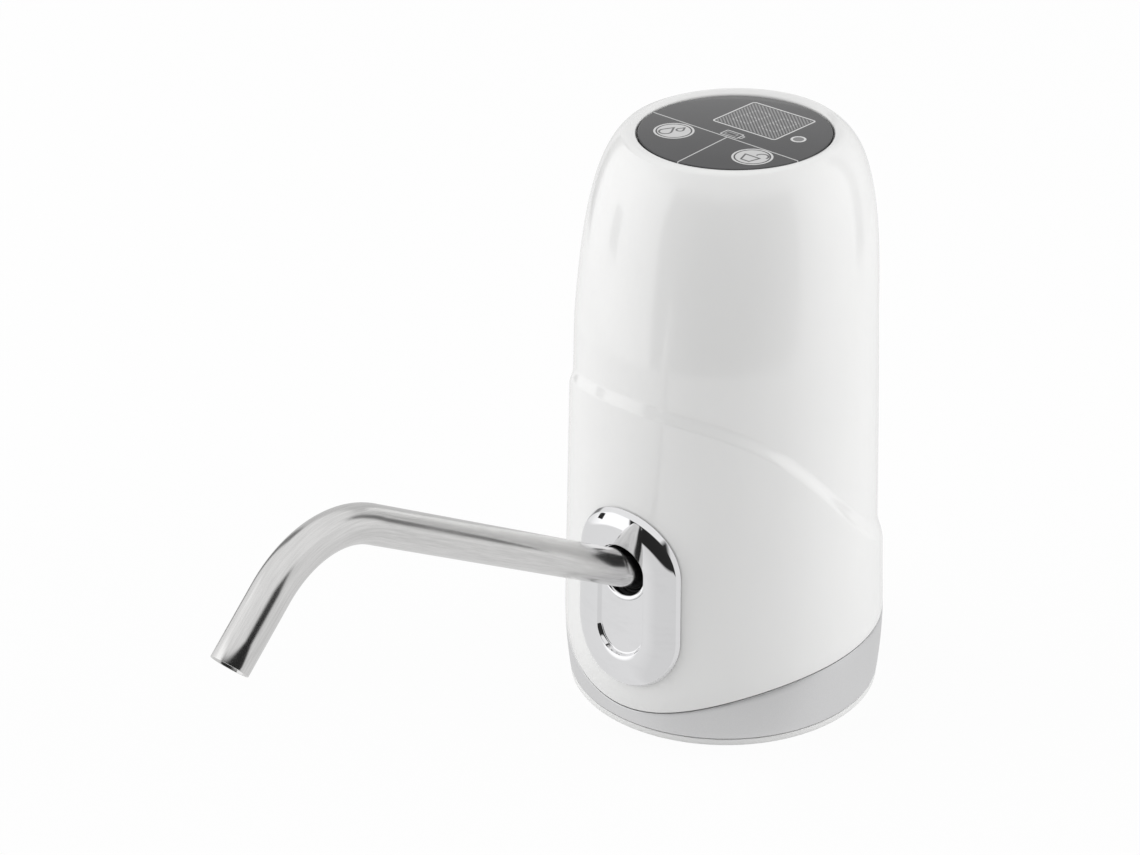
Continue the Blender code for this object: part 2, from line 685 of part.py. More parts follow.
def make_foot(material, frame):
    outer = lower_radius(FOOT_TOP_Z) - FOOT_INSET
    rim = inner_radius(SKIRT_Z) - SEAT
    rim_top = FOOT_TOP_Z + LOCATING_RIM_HEIGHT
    wall = SOCKET_RADIUS + SOCKET_WALL
    outline = ((0.0, SOCKET_DEPTH), (SOCKET_RADIUS, SOCKET_DEPTH), (SOCKET_RADIUS, 0.0),
               (outer - FOOT_CHAMFER, 0.0), (outer, FOOT_CHAMFER), (outer, FOOT_TOP_Z),
               (rim, FOOT_TOP_Z), (rim, rim_top), (rim - LOCATING_RIM_WALL, rim_top),
               (rim - LOCATING_RIM_WALL, FOOT_TOP_Z), (wall, FOOT_TOP_Z), (wall, CEILING_TOP_Z),
               (0.0, CEILING_TOP_Z))
    foot = turned("foot_base", outline, STEPS_LARGE, material, frame)
    for x, y in PILLAR_PLACES:
        join(foot, rod("pillar", PILLAR_RADIUS, SOCKET_DEPTH + 0.5 * SOCKET_CEILING, DECK_Z - SEAT,
                       STEPS_SMALL, None, frame, (x, y, 0.0)))
        cut(foot, rod("pilot", PILOT_RADIUS, DECK_Z - PILOT_DEPTH, DECK_Z + OVERRUN,
                      STEPS_TINY, None, frame, (x, y, 0.0)))
    hole = rod("nipple_hole", NIPPLE_RADIUS + SEAT, SOCKET_DEPTH - OVERRUN, CEILING_TOP_Z + OVERRUN,
               STEPS_SMALL, None, frame, (NIPPLE_X, NIPPLE_Y, 0.0))
    return cut(foot, hole)


def make_grip_ring(material, frame):
    """A soft sleeve in the socket, with lips that hold the bottle's neck."""
    outer = SOCKET_RADIUS - SEAT
    inner = outer - GRIP_RING_WALL
    pitch = GRIP_RING_HEIGHT / GRIP_RING_LIPS
    outline = [(outer, GRIP_RING_START_Z), (outer, GRIP_RING_START_Z + GRIP_RING_HEIGHT)]
    for index in reversed(range(GRIP_RING_LIPS)):
        base = GRIP_RING_START_Z + pitch * index
        outline += [(inner, base + pitch), (inner - GRIP_RING_LIP, base + 0.5 * pitch)]
    outline.append((inner, GRIP_RING_START_Z))
    return turned("bottle_grip_ring", outline, STEPS_LARGE, material, frame)


def make_panel(material, panel_axis):
    top, bottom, edge = PANEL_TOP_Z, PANEL_TOP_Z - PANEL_THICKNESS, PANEL_RADIUS
    outline = ((0.0, bottom), (edge, bottom), (edge, top - PANEL_CHAMFER),
               (edge - PANEL_CHAMFER, top), (0.0, top))
    return turned("control_panel", outline, STEPS_LARGE, material, panel_axis)


def make_display_frame(material, panel_axis):
    """A ring under the ledge that the control board is screwed to."""
    low = BOARD_Z + BOARD_THICKNESS + SEAT
    outer = BOARD_RADIUS
    ring = sleeve("display_frame", outer - FRAME_RING_WALL, outer, low, LEDGE_BOTTOM_Z - SEAT,
                  STEPS_MEDIUM, material, panel_axis)
    for x, y in board_screw_places():
        cut(ring, rod("pilot", PILOT_RADIUS, low - OVERRUN, low + SCREW_LENGTH - BOARD_THICKNESS,
                      STEPS_TINY, None, panel_axis, (x, y, 0.0)))
    return ring


def board_screw_places():
    angles = [math.radians(degrees) for degrees in BOARD_SCREW_DEGREES]
    return [(BOARD_SCREW_RADIUS * math.cos(a), BOARD_SCREW_RADIUS * math.sin(a)) for a in angles]


def plate_ring(inset, height, arc_steps=PLATE_ARC_STEPS, side_steps=PLATE_SIDE_STEPS):
    """One stadium-shaped ring of the escutcheon, wrapped round the body."""
    radius = PLATE_HALF_WIDTH - inset
    straight = PLATE_HALF_HEIGHT - PLATE_HALF_WIDTH
    flat = arc((0.0, straight), radius, 0.0, 180.0, arc_steps)
    flat += [(-radius, y) for y in spread(straight, -straight, side_steps)[:-1]]
    flat += arc((0.0, -straight), radius, 180.0, 360.0, arc_steps)
    flat += [(radius, y) for y in spread(-straight, straight, side_steps)[:-1]]
    points = []
    for across, up in flat:
        z = PLATE_MIDDLE_Z + up
        turn = across / lower_radius(PLATE_MIDDLE_Z)
        reach = lower_radius(z) + height
        points.append(Vector((reach * math.sin(turn), -reach * math.cos(turn), z)))
    return points


def make_escutcheon(material, frame, spout_axis):
    front = ((0.0, PLATE_EDGE_HEIGHT), (PLATE_EDGE_ROUND, PLATE_EDGE_HEIGHT + PLATE_EDGE_ROUND),
             (PLATE_SHOULDER_INSET, PLATE_SHOULDER_HEIGHT), (PLATE_CREST_INSET, PLATE_CREST_HEIGHT),
             (PLATE_BROW_INSET, PLATE_BROW_HEIGHT), (PLATE_RECESS_INSET, PLATE_FLOOR_HEIGHT),
             (PLATE_SPINE_INSET, PLATE_FLOOR_HEIGHT))
    back = ((PLATE_SPINE_INSET, SEAT), (PLATE_RECESS_INSET, SEAT), (0.0, SEAT))
    bm = bmesh.new()
    made = skin_rings(bm, [plate_ring(inset, height) for inset, height in front + back], closed=True)
    spine = [made[len(front) - 1], made[len(front)]]
    seam = [face for face in bm.faces if all(v in spine[0] or v in spine[1] for v in face.verts)]
    bmesh.ops.delete(bm, geom=seam, context="FACES_ONLY")
    for ring in spine:
        bm.faces.new(ring)
    plate = piece("spout_escutcheon", bm, material, frame)
    return cut(plate, rod("collar_hole", COLLAR_RADIUS + SEAT, -COLLAR_ROOT, COLLAR_REACH + OVERRUN,
                          STEPS_MEDIUM, None, spout_axis))


def mouth_distance(angle, radius):
    """How far out along the spout's line the escutcheon's recess floor lies, at a place round it."""
    rise = math.radians(SPOUT_RISE_DEGREES)
    across, above = radius * math.sin(angle), -radius * math.cos(angle)
    floor = lower_radius(SPOUT_ROOT_Z + above / math.cos(rise)) + PLATE_FLOOR_HEIGHT
    sagging = math.sqrt(floor * floor - across * across)
    return (sagging - SPOUT_ROOT_RADIUS + above * math.sin(rise)) / math.cos(rise)


def make_collar(material, spout_axis):
    """A sleeve through the shell, cut off slanting so that it ends level with the recess floor."""
    middle = 0.5 * (SPOUT_BORE + COLLAR_RADIUS)
    sections = []
    for index in range(STEPS_MEDIUM):
        angle = FULL_TURN * index / STEPS_MEDIUM
        outline = ((SPOUT_BORE, -COLLAR_ROOT), (COLLAR_RADIUS, -COLLAR_ROOT),
                   (COLLAR_RADIUS, mouth_distance(angle, COLLAR_RADIUS) - COLLAR_LIP),
                   (middle, mouth_distance(angle, middle)),
                   (SPOUT_BORE, mouth_distance(angle, SPOUT_BORE) - COLLAR_LIP))
        sections.append([(r * math.sin(angle), -r * math.cos(angle), z) for r, z in outline])
    bm = bmesh.new()
    skin_rings(bm, sections, closed=True)
    return piece("spout_collar", bm, material, spout_axis)


def make_spout(material, spout_axis):
    route = [Vector((0.0, 0.0, -SPOUT_INSERTION)), Vector((0.0, 0.0, 0.5 * SPOUT_RUN))]
    bend = math.radians(SPOUT_BEND_DEGREES)
    for index in range(SPOUT_BEND_STEPS + 1):
        angle = bend * index / SPOUT_BEND_STEPS
        route.append(Vector((0.0, -SPOUT_BEND_RADIUS * (1.0 - math.cos(angle)),
                             SPOUT_RUN + SPOUT_BEND_RADIUS * math.sin(angle))))
    route.append(route[-1] + SPOUT_TIP_LENGTH * Vector((0.0, -math.sin(bend), math.cos(bend))))
    return pipe("spout_tube", route, SPOUT_RADIUS, SPOUT_RADIUS - SPOUT_WALL, TUBE_SIDES, material,
                spout_axis)


def make_seal(name, place, material, spout_axis):
    middle = 0.5 * (SPOUT_RADIUS + SPOUT_BORE)
    angles = [FULL_TURN * index / SEAL_SIDES for index in range(SEAL_SIDES)]
    outline = [(middle + SEAL_WIRE * math.cos(a), place + SEAL_WIRE * math.sin(a)) for a in angles]
    return turned(name, outline, TUBE_SIDES, material, spout_axis)


def spout_point(distance):
    """A point on the spout's line, seen in the body's frame."""
    rise = math.radians(SPOUT_RISE_DEGREES)
    out, up = distance * math.cos(rise), distance * math.sin(rise)
    return Vector((0.0, -SPOUT_ROOT_RADIUS - out, SPOUT_ROOT_Z + up))


def make_spout_socket(material, frame, spout_axis):
    """Takes the spout's end and turns the water's way up to the outlet hose."""
    front = -COLLAR_ROOT - SEAT
    stop = -SPOUT_INSERTION - SEAT
    back = front - SPOUT_SOCKET_LENGTH
    body = rod("spout_socket", SPOUT_SOCKET_RADIUS, back, front, STEPS_MEDIUM, material, spout_axis)
    barb = spout_point(SPOUT_BARB_PLACE)
    join(body, rod("barb", BARB_RADIUS, barb.z, SPOUT_BARB_TOP_Z, TUBE_SIDES, None, frame,
                   (0.0, barb.y, 0.0)))
    cut(body, rod("bore", SPOUT_BORE, stop, front + OVERRUN, STEPS_MEDIUM, None, spout_axis))
    cut(body, rod("rise", BARB_BORE, barb.z, SPOUT_BARB_TOP_Z + OVERRUN, TUBE_SIDES, None, frame,
                  (0.0, barb.y, 0.0)))
    return body


def make_nipple(material, frame):
    low = SOCKET_DEPTH - NIPPLE_DROP
    flange = CEILING_TOP_Z + SEAT
    flange_top = flange + NIPPLE_FLANGE_THICKNESS
    outline = ((NIPPLE_BORE, low), (NIPPLE_RADIUS - FOOT_CHAMFER, low), (NIPPLE_RADIUS, low + FOOT_CHAMFER),
               (NIPPLE_RADIUS, flange), (NIPPLE_FLANGE_RADIUS, flange), (NIPPLE_FLANGE_RADIUS, flange_top),
               (BARB_RADIUS, flange_top), (BARB_RADIUS, flange_top + NIPPLE_NECK),
               (BARB_BORE, flange_top + NIPPLE_NECK), (BARB_BORE, flange), (NIPPLE_BORE, SOCKET_DEPTH))
    return turned("inlet_nipple", outline, TUBE_SIDES, material, frame, (NIPPLE_X, NIPPLE_Y, 0.0))


def sideways_bend(start, end, heading, steps):
    """Two equal arcs that carry a hose sideways, leaving and arriving along the heading."""
    whole = end - start
    across = whole - heading * whole.dot(heading)
    turn = 2.0 * math.atan2(across.length, whole.dot(heading))
    radius = 0.5 * whole.dot(heading) / math.sin(turn)
    across.normalize()

    def reach(share):
        angle = turn * share
        return radius * ((1.0 - math.cos(angle)) * across + math.sin(angle) * heading)

    first = [start + reach(index / steps) for index in range(steps)]
    return first + [end - reach(1.0 - index / steps) for index in range(steps + 1)]


def make_inlet_hose(material, frame):
    """Runs up from the nipple's barb to the barb under the pump's cover."""
    barb_top = CEILING_TOP_Z + SEAT + NIPPLE_FLANGE_THICKNESS + NIPPLE_NECK
    end = PUMP_COVER_Z - SEAT
    port_y = PUMP_Y + PORT_REACH
    bend = sideways_bend(Vector((NIPPLE_X, NIPPLE_Y, barb_top + BARB_RELIEF)),
                         Vector((MESH_X, port_y, PUMP_COVER_Z - PORT_COLLAR - BARB_RELIEF)),
                         Vector((0.0, 0.0, 1.0)), HOSE_BEND_STEPS)
    route = [Vector((NIPPLE_X, NIPPLE_Y, barb_top - BARB_GRIP))] + bend + [Vector((MESH_X, port_y, end))]
    return pipe("inlet_hose", route, HOSE_RADIUS, HOSE_BORE, HOSE_SIDES, material, frame)


def make_outlet_hose(material, frame):
    """Runs forward from the pump's barb, over to the middle and down onto the spout socket's barb."""
    barb = spout_point(SPOUT_BARB_PLACE)
    front = PUMP_Y - 0.5 * PUMP_BODY_DEPTH
    port_z = GEAR_Z + OUTLET_HEIGHT_SHARE * GEAR_HEIGHT
    drop = port_z - SPOUT_BARB_TOP_Z - BARB_RELIEF
    route = [Vector((MESH_X, front - SEAT, port_z))]
    route += sideways_bend(Vector((MESH_X, front - OUTLET_REACH - BARB_RELIEF, port_z)),
                           Vector((0.0, barb.y + drop, port_z)), Vector((0.0, -1.0, 0.0)), HOSE_BEND_STEPS)
    for index in range(1, HOSE_BEND_STEPS + 2):
        angle = 0.5 * math.pi * index / (HOSE_BEND_STEPS + 1)
        back, down = drop * (1.0 - math.sin(angle)), drop * (1.0 - math.cos(angle))
        route.append(Vector((0.0, barb.y + back, port_z - down)))
    route.append(Vector((0.0, barb.y, SPOUT_BARB_TOP_Z - BARB_GRIP)))
    return pipe("outlet_hose", route, HOSE_RADIUS, HOSE_BORE, HOSE_SIDES, material, frame)


def make_deck(material, frame):
    deck = rod("pump_deck", DECK_RADIUS, DECK_Z, DECK_TOP_Z, STEPS_MEDIUM, material, frame)
    holes = [(PUMP_X, PUMP_Y, MOTOR_NOSE_RADIUS + SEAT), (CELL_X, CELL_Y, CELL_RADIUS + SEAT)]
    holes += [(x, y, SCREW_SHANK_RADIUS + SEAT) for x, y in PILLAR_PLACES + tuple(motor_screw_places())]
    holes += [(x, y, PILOT_RADIUS) for x, y in pump_screw_places()]
    holes += [(x, y, LEAD_HOLE_RADIUS) for x, y in (CHARGE_LEAD_PLACE, cell_lead_place())]
    for x, y, radius in holes:
        steps = STEPS_TINY if radius < MOTOR_NOSE_RADIUS else STEPS_MEDIUM
        cut(deck, rod("hole", radius, DECK_Z - OVERRUN, DECK_TOP_Z + OVERRUN, steps, None, frame,
                      (x, y, 0.0)))
    return deck


def cell_lead_place():
    """Where the negative lead runs up beside the cell, clear of its cradle."""
    return (CELL_X, CELL_Y - CELL_RADIUS - SEAT - CRADLE_WALL - CELL_LEAD_GAP - LEAD_RADIUS)


def motor_screw_places():
    return [(PUMP_X, PUMP_Y - MOTOR_SCREW_PLACE), (PUMP_X, PUMP_Y + MOTOR_SCREW_PLACE)]


def pump_screw_places():
    """Two corners of the pump head, one on each side of the gears."""
    reach = 0.5 * PUMP_BODY_DEPTH - PUMP_SCREW_INSET
    return [(PUMP_X - PUMP_BODY_LEFT + PUMP_SCREW_INSET, PUMP_Y - reach),
            (PUMP_X + PUMP_BODY_RIGHT - PUMP_SCREW_INSET, PUMP_Y + reach)]


def pump_outline():
    half = 0.5 * PUMP_BODY_DEPTH
    return rounded_rectangle(PUMP_X - PUMP_BODY_LEFT, PUMP_X + PUMP_BODY_RIGHT, PUMP_Y - half, PUMP_Y + half,
                             PUMP_CORNER)


def chamber_outline():
    """The gears' chamber: two circles that meet, drawn as one outline."""
    half = 0.5 * GEAR_CENTRES
    meet = math.degrees(math.acos(half / CHAMBER_RADIUS))
    left = arc((PUMP_X, PUMP_Y), CHAMBER_RADIUS, meet, 360.0 - meet, STEPS_SMALL)
    right = arc((PUMP_X + GEAR_CENTRES, PUMP_Y), CHAMBER_RADIUS, meet - 180.0, 180.0 - meet, STEPS_SMALL)
    return left[:-1] + right[:-1]


def make_pump_body(material, frame):
    body = prism("pump_body", pump_outline(), PUMP_BODY_Z, PUMP_BODY_Z + PUMP_BODY_HEIGHT, material, frame)
    top = PUMP_BODY_Z + PUMP_BODY_HEIGHT
    cut(body, prism("chamber", chamber_outline(), PUMP_BODY_Z - OVERRUN, CHAMBER_TOP_Z, None, frame))
    cut(body, rod("shaft_hole", MOTOR_SHAFT_RADIUS + SEAT, PUMP_BODY_Z, top + OVERRUN, TUBE_SIDES, None,
                  frame, (PUMP_X, PUMP_Y, 0.0)))
    cut(body, rod("seal_pocket", SEAL_POCKET_RADIUS, top - SEAL_POCKET_DEPTH, top + OVERRUN, STEPS_SMALL,
                  None, frame, (PUMP_X, PUMP_Y, 0.0)))
    cut(body, rod("pin_hole", IDLER_PIN_RADIUS + RUNNING, PUMP_BODY_Z, CHAMBER_TOP_Z + SCREW_HEAD_HEIGHT,
                  STEPS_SMALL, None, frame, (PUMP_X + GEAR_CENTRES, PUMP_Y, 0.0)))
    for x, y in motor_screw_places():
        cut(body, rod("pocket", SCREW_HEAD_RADIUS + SEAT, top - SCREW_HEAD_HEIGHT - 2.0 * SEAT, top + OVERRUN,
                      STEPS_TINY, None, frame, (x, y, 0.0)))
    for x, y in pump_screw_places():
        cut(body, rod("hole", PILOT_RADIUS, PUMP_BODY_Z - OVERRUN, top + OVERRUN, STEPS_TINY, None, frame,
                      (x, y, 0.0)))
    port_z = GEAR_Z + OUTLET_HEIGHT_SHARE * GEAR_HEIGHT
    front = PUMP_Y - 0.5 * PUMP_BODY_DEPTH
    port = empty("outlet_axis", frame, (MESH_X, front, port_z), math.radians(90.0))
    join(body, rod("barb", BARB_RADIUS, -OVERRUN, OUTLET_REACH, TUBE_SIDES, None, port))
    cut(body, rod("bore", BARB_BORE, front - PUMP_Y + 0.5 * PORT_REACH, OUTLET_REACH + OVERRUN, TUBE_SIDES,
                  None, port))
    return body


def make_pump_gasket(material, frame):
    low = PUMP_GASKET_Z
    gasket = prism("pump_gasket", pump_outline(), low, low + PUMP_GASKET_THICKNESS, material, frame)
    cut(gasket, prism("chamber", chamber_outline(), low - OVERRUN, low + OVERRUN, None, frame))
    for x, y in pump_screw_places():
        cut(gasket, rod("hole", PILOT_RADIUS, low - OVERRUN, low + OVERRUN, STEPS_TINY, None, frame,
                        (x, y, 0.0)))
    return gasket


def make_pump_cover(material, frame):
    """Closes the gears' chamber from below and carries the inlet port."""
    low, high = PUMP_COVER_Z, PUMP_COVER_Z + PUMP_COVER_THICKNESS
    cover = prism("pump_cover", pump_outline(), low, high, material, frame)
    port = (MESH_X, PUMP_Y + PORT_REACH, 0.0)
    join(cover, rod("barb", BARB_RADIUS, low - PORT_COLLAR, low + 0.5 * PUMP_COVER_THICKNESS, TUBE_SIDES,
                    None, frame, port))
    cut(cover, rod("bore", BARB_BORE, low - PORT_COLLAR - OVERRUN, high + OVERRUN, TUBE_SIDES, None, frame,
                   port))
    cut(cover, rod("pin_hole", IDLER_PIN_RADIUS + RUNNING, low + 0.5 * PUMP_COVER_THICKNESS, high + OVERRUN,
                   STEPS_SMALL, None, frame, (PUMP_X + GEAR_CENTRES, PUMP_Y, 0.0)))
    for x, y in pump_screw_places():
        cut(cover, rod("hole", PILOT_RADIUS, low - OVERRUN, high + OVERRUN, STEPS_TINY, None, frame,
                       (x, y, 0.0)))
    return cover


def gear_outline(phase):
    """A spur gear's outline, each tooth drawn from its root over its tip."""
    pitch = FULL_TURN / GEAR_TEETH
    root = GEAR_PITCH_RADIUS - GEAR_DEDENDUM
    tip = GEAR_PITCH_RADIUS + GEAR_ADDENDUM
    profile = ((-GEAR_ROOT_SHARE, root), (-GEAR_FLANK_SHARE, GEAR_PITCH_RADIUS), (-GEAR_TIP_SHARE, tip),
               (GEAR_TIP_SHARE, tip), (GEAR_FLANK_SHARE, GEAR_PITCH_RADIUS), (GEAR_ROOT_SHARE, root))
    outline = []
    for tooth in range(GEAR_TEETH):
        for share, radius in profile:
            angle = pitch * (tooth + phase + share)
            outline.append((radius * math.cos(angle), radius * math.sin(angle)))
    return outline


def make_gear(name, bore, phase, material, axis):
    top = GEAR_Z + GEAR_HEIGHT
    gear = prism(name, gear_outline(phase), GEAR_Z, top, material, axis)
    return cut(gear, rod("bore", bore, GEAR_Z - OVERRUN, top + OVERRUN, STEPS_SMALL, None, axis))


def make_shaft_seal(material, motor_axis):
    top = DECK_Z - SEAT - SEAT
    return sleeve("shaft_seal", MOTOR_SHAFT_RADIUS + RUNNING, SEAL_POCKET_RADIUS - SEAT,
                  top - SHAFT_SEAL_HEIGHT, top, STEPS_SMALL, material, motor_axis)


def make_screw(name, place, seat_z, up, length, material, frame):
    """A pan-head screw with its head on the seat and its shank below, or above when up is -1."""
    head, slot = up * SCREW_HEAD_HEIGHT, up * (SCREW_HEAD_HEIGHT - SCREW_SLOT_DEPTH)
    outline = ((0.0, -up * length), (SCREW_SHANK_RADIUS, -up * (length - SCREW_SHANK_RADIUS)),
               (SCREW_SHANK_RADIUS, 0.0), (SCREW_HEAD_RADIUS, 0.0), (SCREW_HEAD_RADIUS, 0.6 * head),
               (0.8 * SCREW_HEAD_RADIUS, head), (SCREW_SLOT_RADIUS, head), (SCREW_SLOT_RADIUS, slot),
               (0.0, slot))
    return turned(name, outline, STEPS_TINY, material, frame, (place[0], place[1], seat_z))


def make_screws(material, frame, panel_axis):
    for index, place in enumerate(PILLAR_PLACES):
        make_screw(f"deck_screw_{index + 1}", place, DECK_TOP_Z + SEAT, 1.0, SCREW_LENGTH, material, frame)
    length = PUMP_COVER_THICKNESS + PUMP_GASKET_THICKNESS + PUMP_BODY_HEIGHT + DECK_THICKNESS + 2.0 * SEAT
    for index, place in enumerate(pump_screw_places()):
        make_screw(f"pump_screw_{index + 1}", place, PUMP_COVER_Z - SEAT, -1.0, length, material, frame)
    for index, place in enumerate(motor_screw_places()):
        make_screw(f"motor_screw_{index + 1}", place, DECK_Z - SEAT, -1.0, DECK_THICKNESS + 2.0 * MOTOR_WALL,
                   material, frame)
    for index, place in enumerate(board_screw_places()):
        make_screw(f"board_screw_{index + 1}", place, BOARD_Z - SEAT, -1.0,
                   BOARD_THICKNESS + 0.5 * SCREW_LENGTH, material, panel_axis)


def make_motor_can(material, frame, motor_axis):
    """The can's flat face sits on the deck, and its nose drops through the deck's hole."""
    low, high = MOTOR_Z, MOTOR_Z + MOTOR_CAN_HEIGHT
    inner = MOTOR_RADIUS - MOTOR_WALL
    bore = BUSH_RADIUS + RUNNING
    nose = low - DECK_THICKNESS
    outline = ((bore, nose), (MOTOR_NOSE_RADIUS, nose), (MOTOR_NOSE_RADIUS, low), (MOTOR_RADIUS, low),
               (MOTOR_RADIUS, high), (inner, high), (inner, low + MOTOR_WALL), (bore, low + MOTOR_WALL))
    can = turned("motor_can", outline, STEPS_MEDIUM, material, motor_axis)
    for x, y in motor_screw_places():
        cut(can, rod("hole", PILOT_RADIUS, low - OVERRUN, low + OVERRUN, STEPS_TINY, None, frame,
                     (x, y, 0.0)))
    return can


def make_motor_cap(material, motor_axis):
    low = MOTOR_Z + MOTOR_CAN_HEIGHT - MOTOR_WALL
    high = MOTOR_Z + MOTOR_CAN_HEIGHT + MOTOR_CAP_THICKNESS
    seat = MOTOR_Z + MOTOR_CAN_HEIGHT + SEAT
    plug = MOTOR_RADIUS - MOTOR_WALL - SEAT
    bore = BUSH_RADIUS + RUNNING
    outline = ((bore, low), (plug, low), (plug, seat), (MOTOR_RADIUS, seat), (MOTOR_RADIUS, high),
               (bore, high))
    return turned("motor_end_cap", outline, STEPS_MEDIUM, material, motor_axis)


def make_magnet(name, facing_degrees, material, motor_axis):
    outer = MOTOR_RADIUS - MOTOR_WALL - SEAT
    half = 0.5 * MAGNET_SPAN_DEGREES
    start, end = facing_degrees - half, facing_degrees + half
    outline = arc((0.0, 0.0), outer, start, end, MAGNET_STEPS)
    outline += arc((0.0, 0.0), outer - MAGNET_WALL, end, start, MAGNET_STEPS)
    low = MOTOR_Z + MAGNET_START
    return prism(name, outline, low, low + MAGNET_HEIGHT, material, motor_axis)


def armature_outline(grow, shoe_radius, shoes):
    """Three poles round a hub. With shoes, each pole ends in an arc-shaped shoe."""
    half_width = POLE_HALF_WIDTH + grow
    hub = HUB_RADIUS + grow
    outline = []
    for pole in range(POLES):
        facing = 360.0 * pole / POLES
        root = math.degrees(math.asin(half_width / hub))
        outline += arc((0.0, 0.0), hub, facing - root, facing - root, 1)[:1]
        if shoes:
            inner = shoe_radius - SHOE_THICKNESS
            neck = math.degrees(math.asin(half_width / inner))
            outline += arc((0.0, 0.0), inner, facing - neck, facing - SHOE_HALF_DEGREES, 3)
            outline += arc((0.0, 0.0), shoe_radius, facing - SHOE_HALF_DEGREES, facing + SHOE_HALF_DEGREES, 8)
            outline += arc((0.0, 0.0), inner, facing + SHOE_HALF_DEGREES, facing + neck, 3)
        else:
            neck = math.degrees(math.asin(half_width / shoe_radius))
            outline += arc((0.0, 0.0), shoe_radius, facing - neck, facing + neck, 1)
        outline += arc((0.0, 0.0), hub, facing + root, facing + root, 1)[:1]
    return outline


def make_armature(material, motor_axis):
    low = MOTOR_Z + ARMATURE_START
    core = prism("motor_armature", armature_outline(0.0, ARMATURE_RADIUS, True), low, low + ARMATURE_HEIGHT,
                 material, motor_axis)
    return cut(core, rod("bore", MOTOR_SHAFT_RADIUS + RUNNING, low - OVERRUN, low + ARMATURE_HEIGHT + OVERRUN,
                         STEPS_SMALL, None, motor_axis))


def make_winding(material, motor_axis):
    """The coils fill the slots between the poles and turn over both ends of the core."""
    low = MOTOR_Z + ARMATURE_START
    high = low + ARMATURE_HEIGHT
    radius = ARMATURE_RADIUS - SHOE_THICKNESS - SEAT
    coils = sleeve("motor_winding", HUB_RADIUS, radius, low - SEAT - WINDING_END, high + SEAT + WINDING_END,
                   STEPS_MEDIUM, material, motor_axis)
    star = armature_outline(SEAT, ARMATURE_RADIUS, False)
    return cut(coils, prism("core", star, low - SEAT, high + SEAT, None, motor_axis))


def make_rotor(shaft_finish, copper, motor_axis):
    top = MOTOR_Z + MOTOR_CAN_HEIGHT + MOTOR_CAP_THICKNESS + MOTOR_SHAFT_STUB
    rod("motor_shaft", MOTOR_SHAFT_RADIUS, GEAR_Z, top, STEPS_SMALL, shaft_finish, motor_axis)
    low = MOTOR_Z + ARMATURE_START + ARMATURE_HEIGHT + 2.0 * SEAT + WINDING_END
    sleeve("motor_commutator", MOTOR_SHAFT_RADIUS + RUNNING, COMMUTATOR_RADIUS, low, low + COMMUTATOR_HEIGHT,
           STEPS_SMALL, copper, motor_axis)


def make_bushes(material, motor_axis):
    front = MOTOR_Z + MOTOR_WALL - BUSH_HEIGHT
    rear = MOTOR_Z + MOTOR_CAN_HEIGHT + MOTOR_CAP_THICKNESS - BUSH_HEIGHT
    for name, low in (("motor_bush_front", front), ("motor_bush_rear", rear)):
        sleeve(name, MOTOR_SHAFT_RADIUS + RUNNING, BUSH_RADIUS, low, low + BUSH_HEIGHT, STEPS_SMALL, material,
               motor_axis)


def terminal_base():
    return MOTOR_Z + MOTOR_CAN_HEIGHT + MOTOR_CAP_THICKNESS + SEAT


def make_terminals(material, motor_axis):
    low = terminal_base()
    for name, place in (("motor_terminal_left", -TERMINAL_PLACE), ("motor_terminal_right", TERMINAL_PLACE)):
        box(name, (-0.5 * TERMINAL_THICKNESS, -0.5 * TERMINAL_WIDTH, low),
            (0.5 * TERMINAL_THICKNESS, 0.5 * TERMINAL_WIDTH, low + TERMINAL_HEIGHT), material, motor_axis,
            (place, 0.0, 0.0))


def make_battery(wrap, plastic, frame):
    place = (CELL_X, CELL_Y, 0.0)
    floor = CEILING_TOP_Z + SEAT
    base = floor + CRADLE_FLOOR
    inner = CELL_RADIUS + SEAT
    outer = inner + CRADLE_WALL
    cradle = ((0.0, floor), (outer, floor), (outer, floor + CRADLE_HEIGHT), (inner, floor + CRADLE_HEIGHT),
              (inner, base), (0.0, base))
    turned("battery_cradle", cradle, STEPS_MEDIUM, plastic, frame, place)
    low = base + SEAT
    high = low + CELL_HEIGHT
    cell = ((0.0, low), (CELL_RADIUS - CELL_CHAMFER, low), (CELL_RADIUS, low + CELL_CHAMFER),
            (CELL_RADIUS, high - CELL_CHAMFER), (CELL_RADIUS - CELL_CHAMFER, high), (CELL_CAP_RADIUS, high),
            (CELL_CAP_RADIUS, high + CELL_CAP_HEIGHT), (0.0, high + CELL_CAP_HEIGHT))
    turned("battery_cell", cell, STEPS_MEDIUM, wrap, frame, place)


def make_board(material, panel_axis):
    board = rod("control_board", BOARD_RADIUS, BOARD_Z, BOARD_Z + BOARD_THICKNESS, STEPS_MEDIUM, material,
                panel_axis)
    for x, y in board_screw_places():
        cut(board, rod("hole", SCREW_SHANK_RADIUS + SEAT, BOARD_Z - OVERRUN, BOARD_Z + OVERRUN, STEPS_TINY,
                       None, panel_axis, (x, y, 0.0)))
    return board


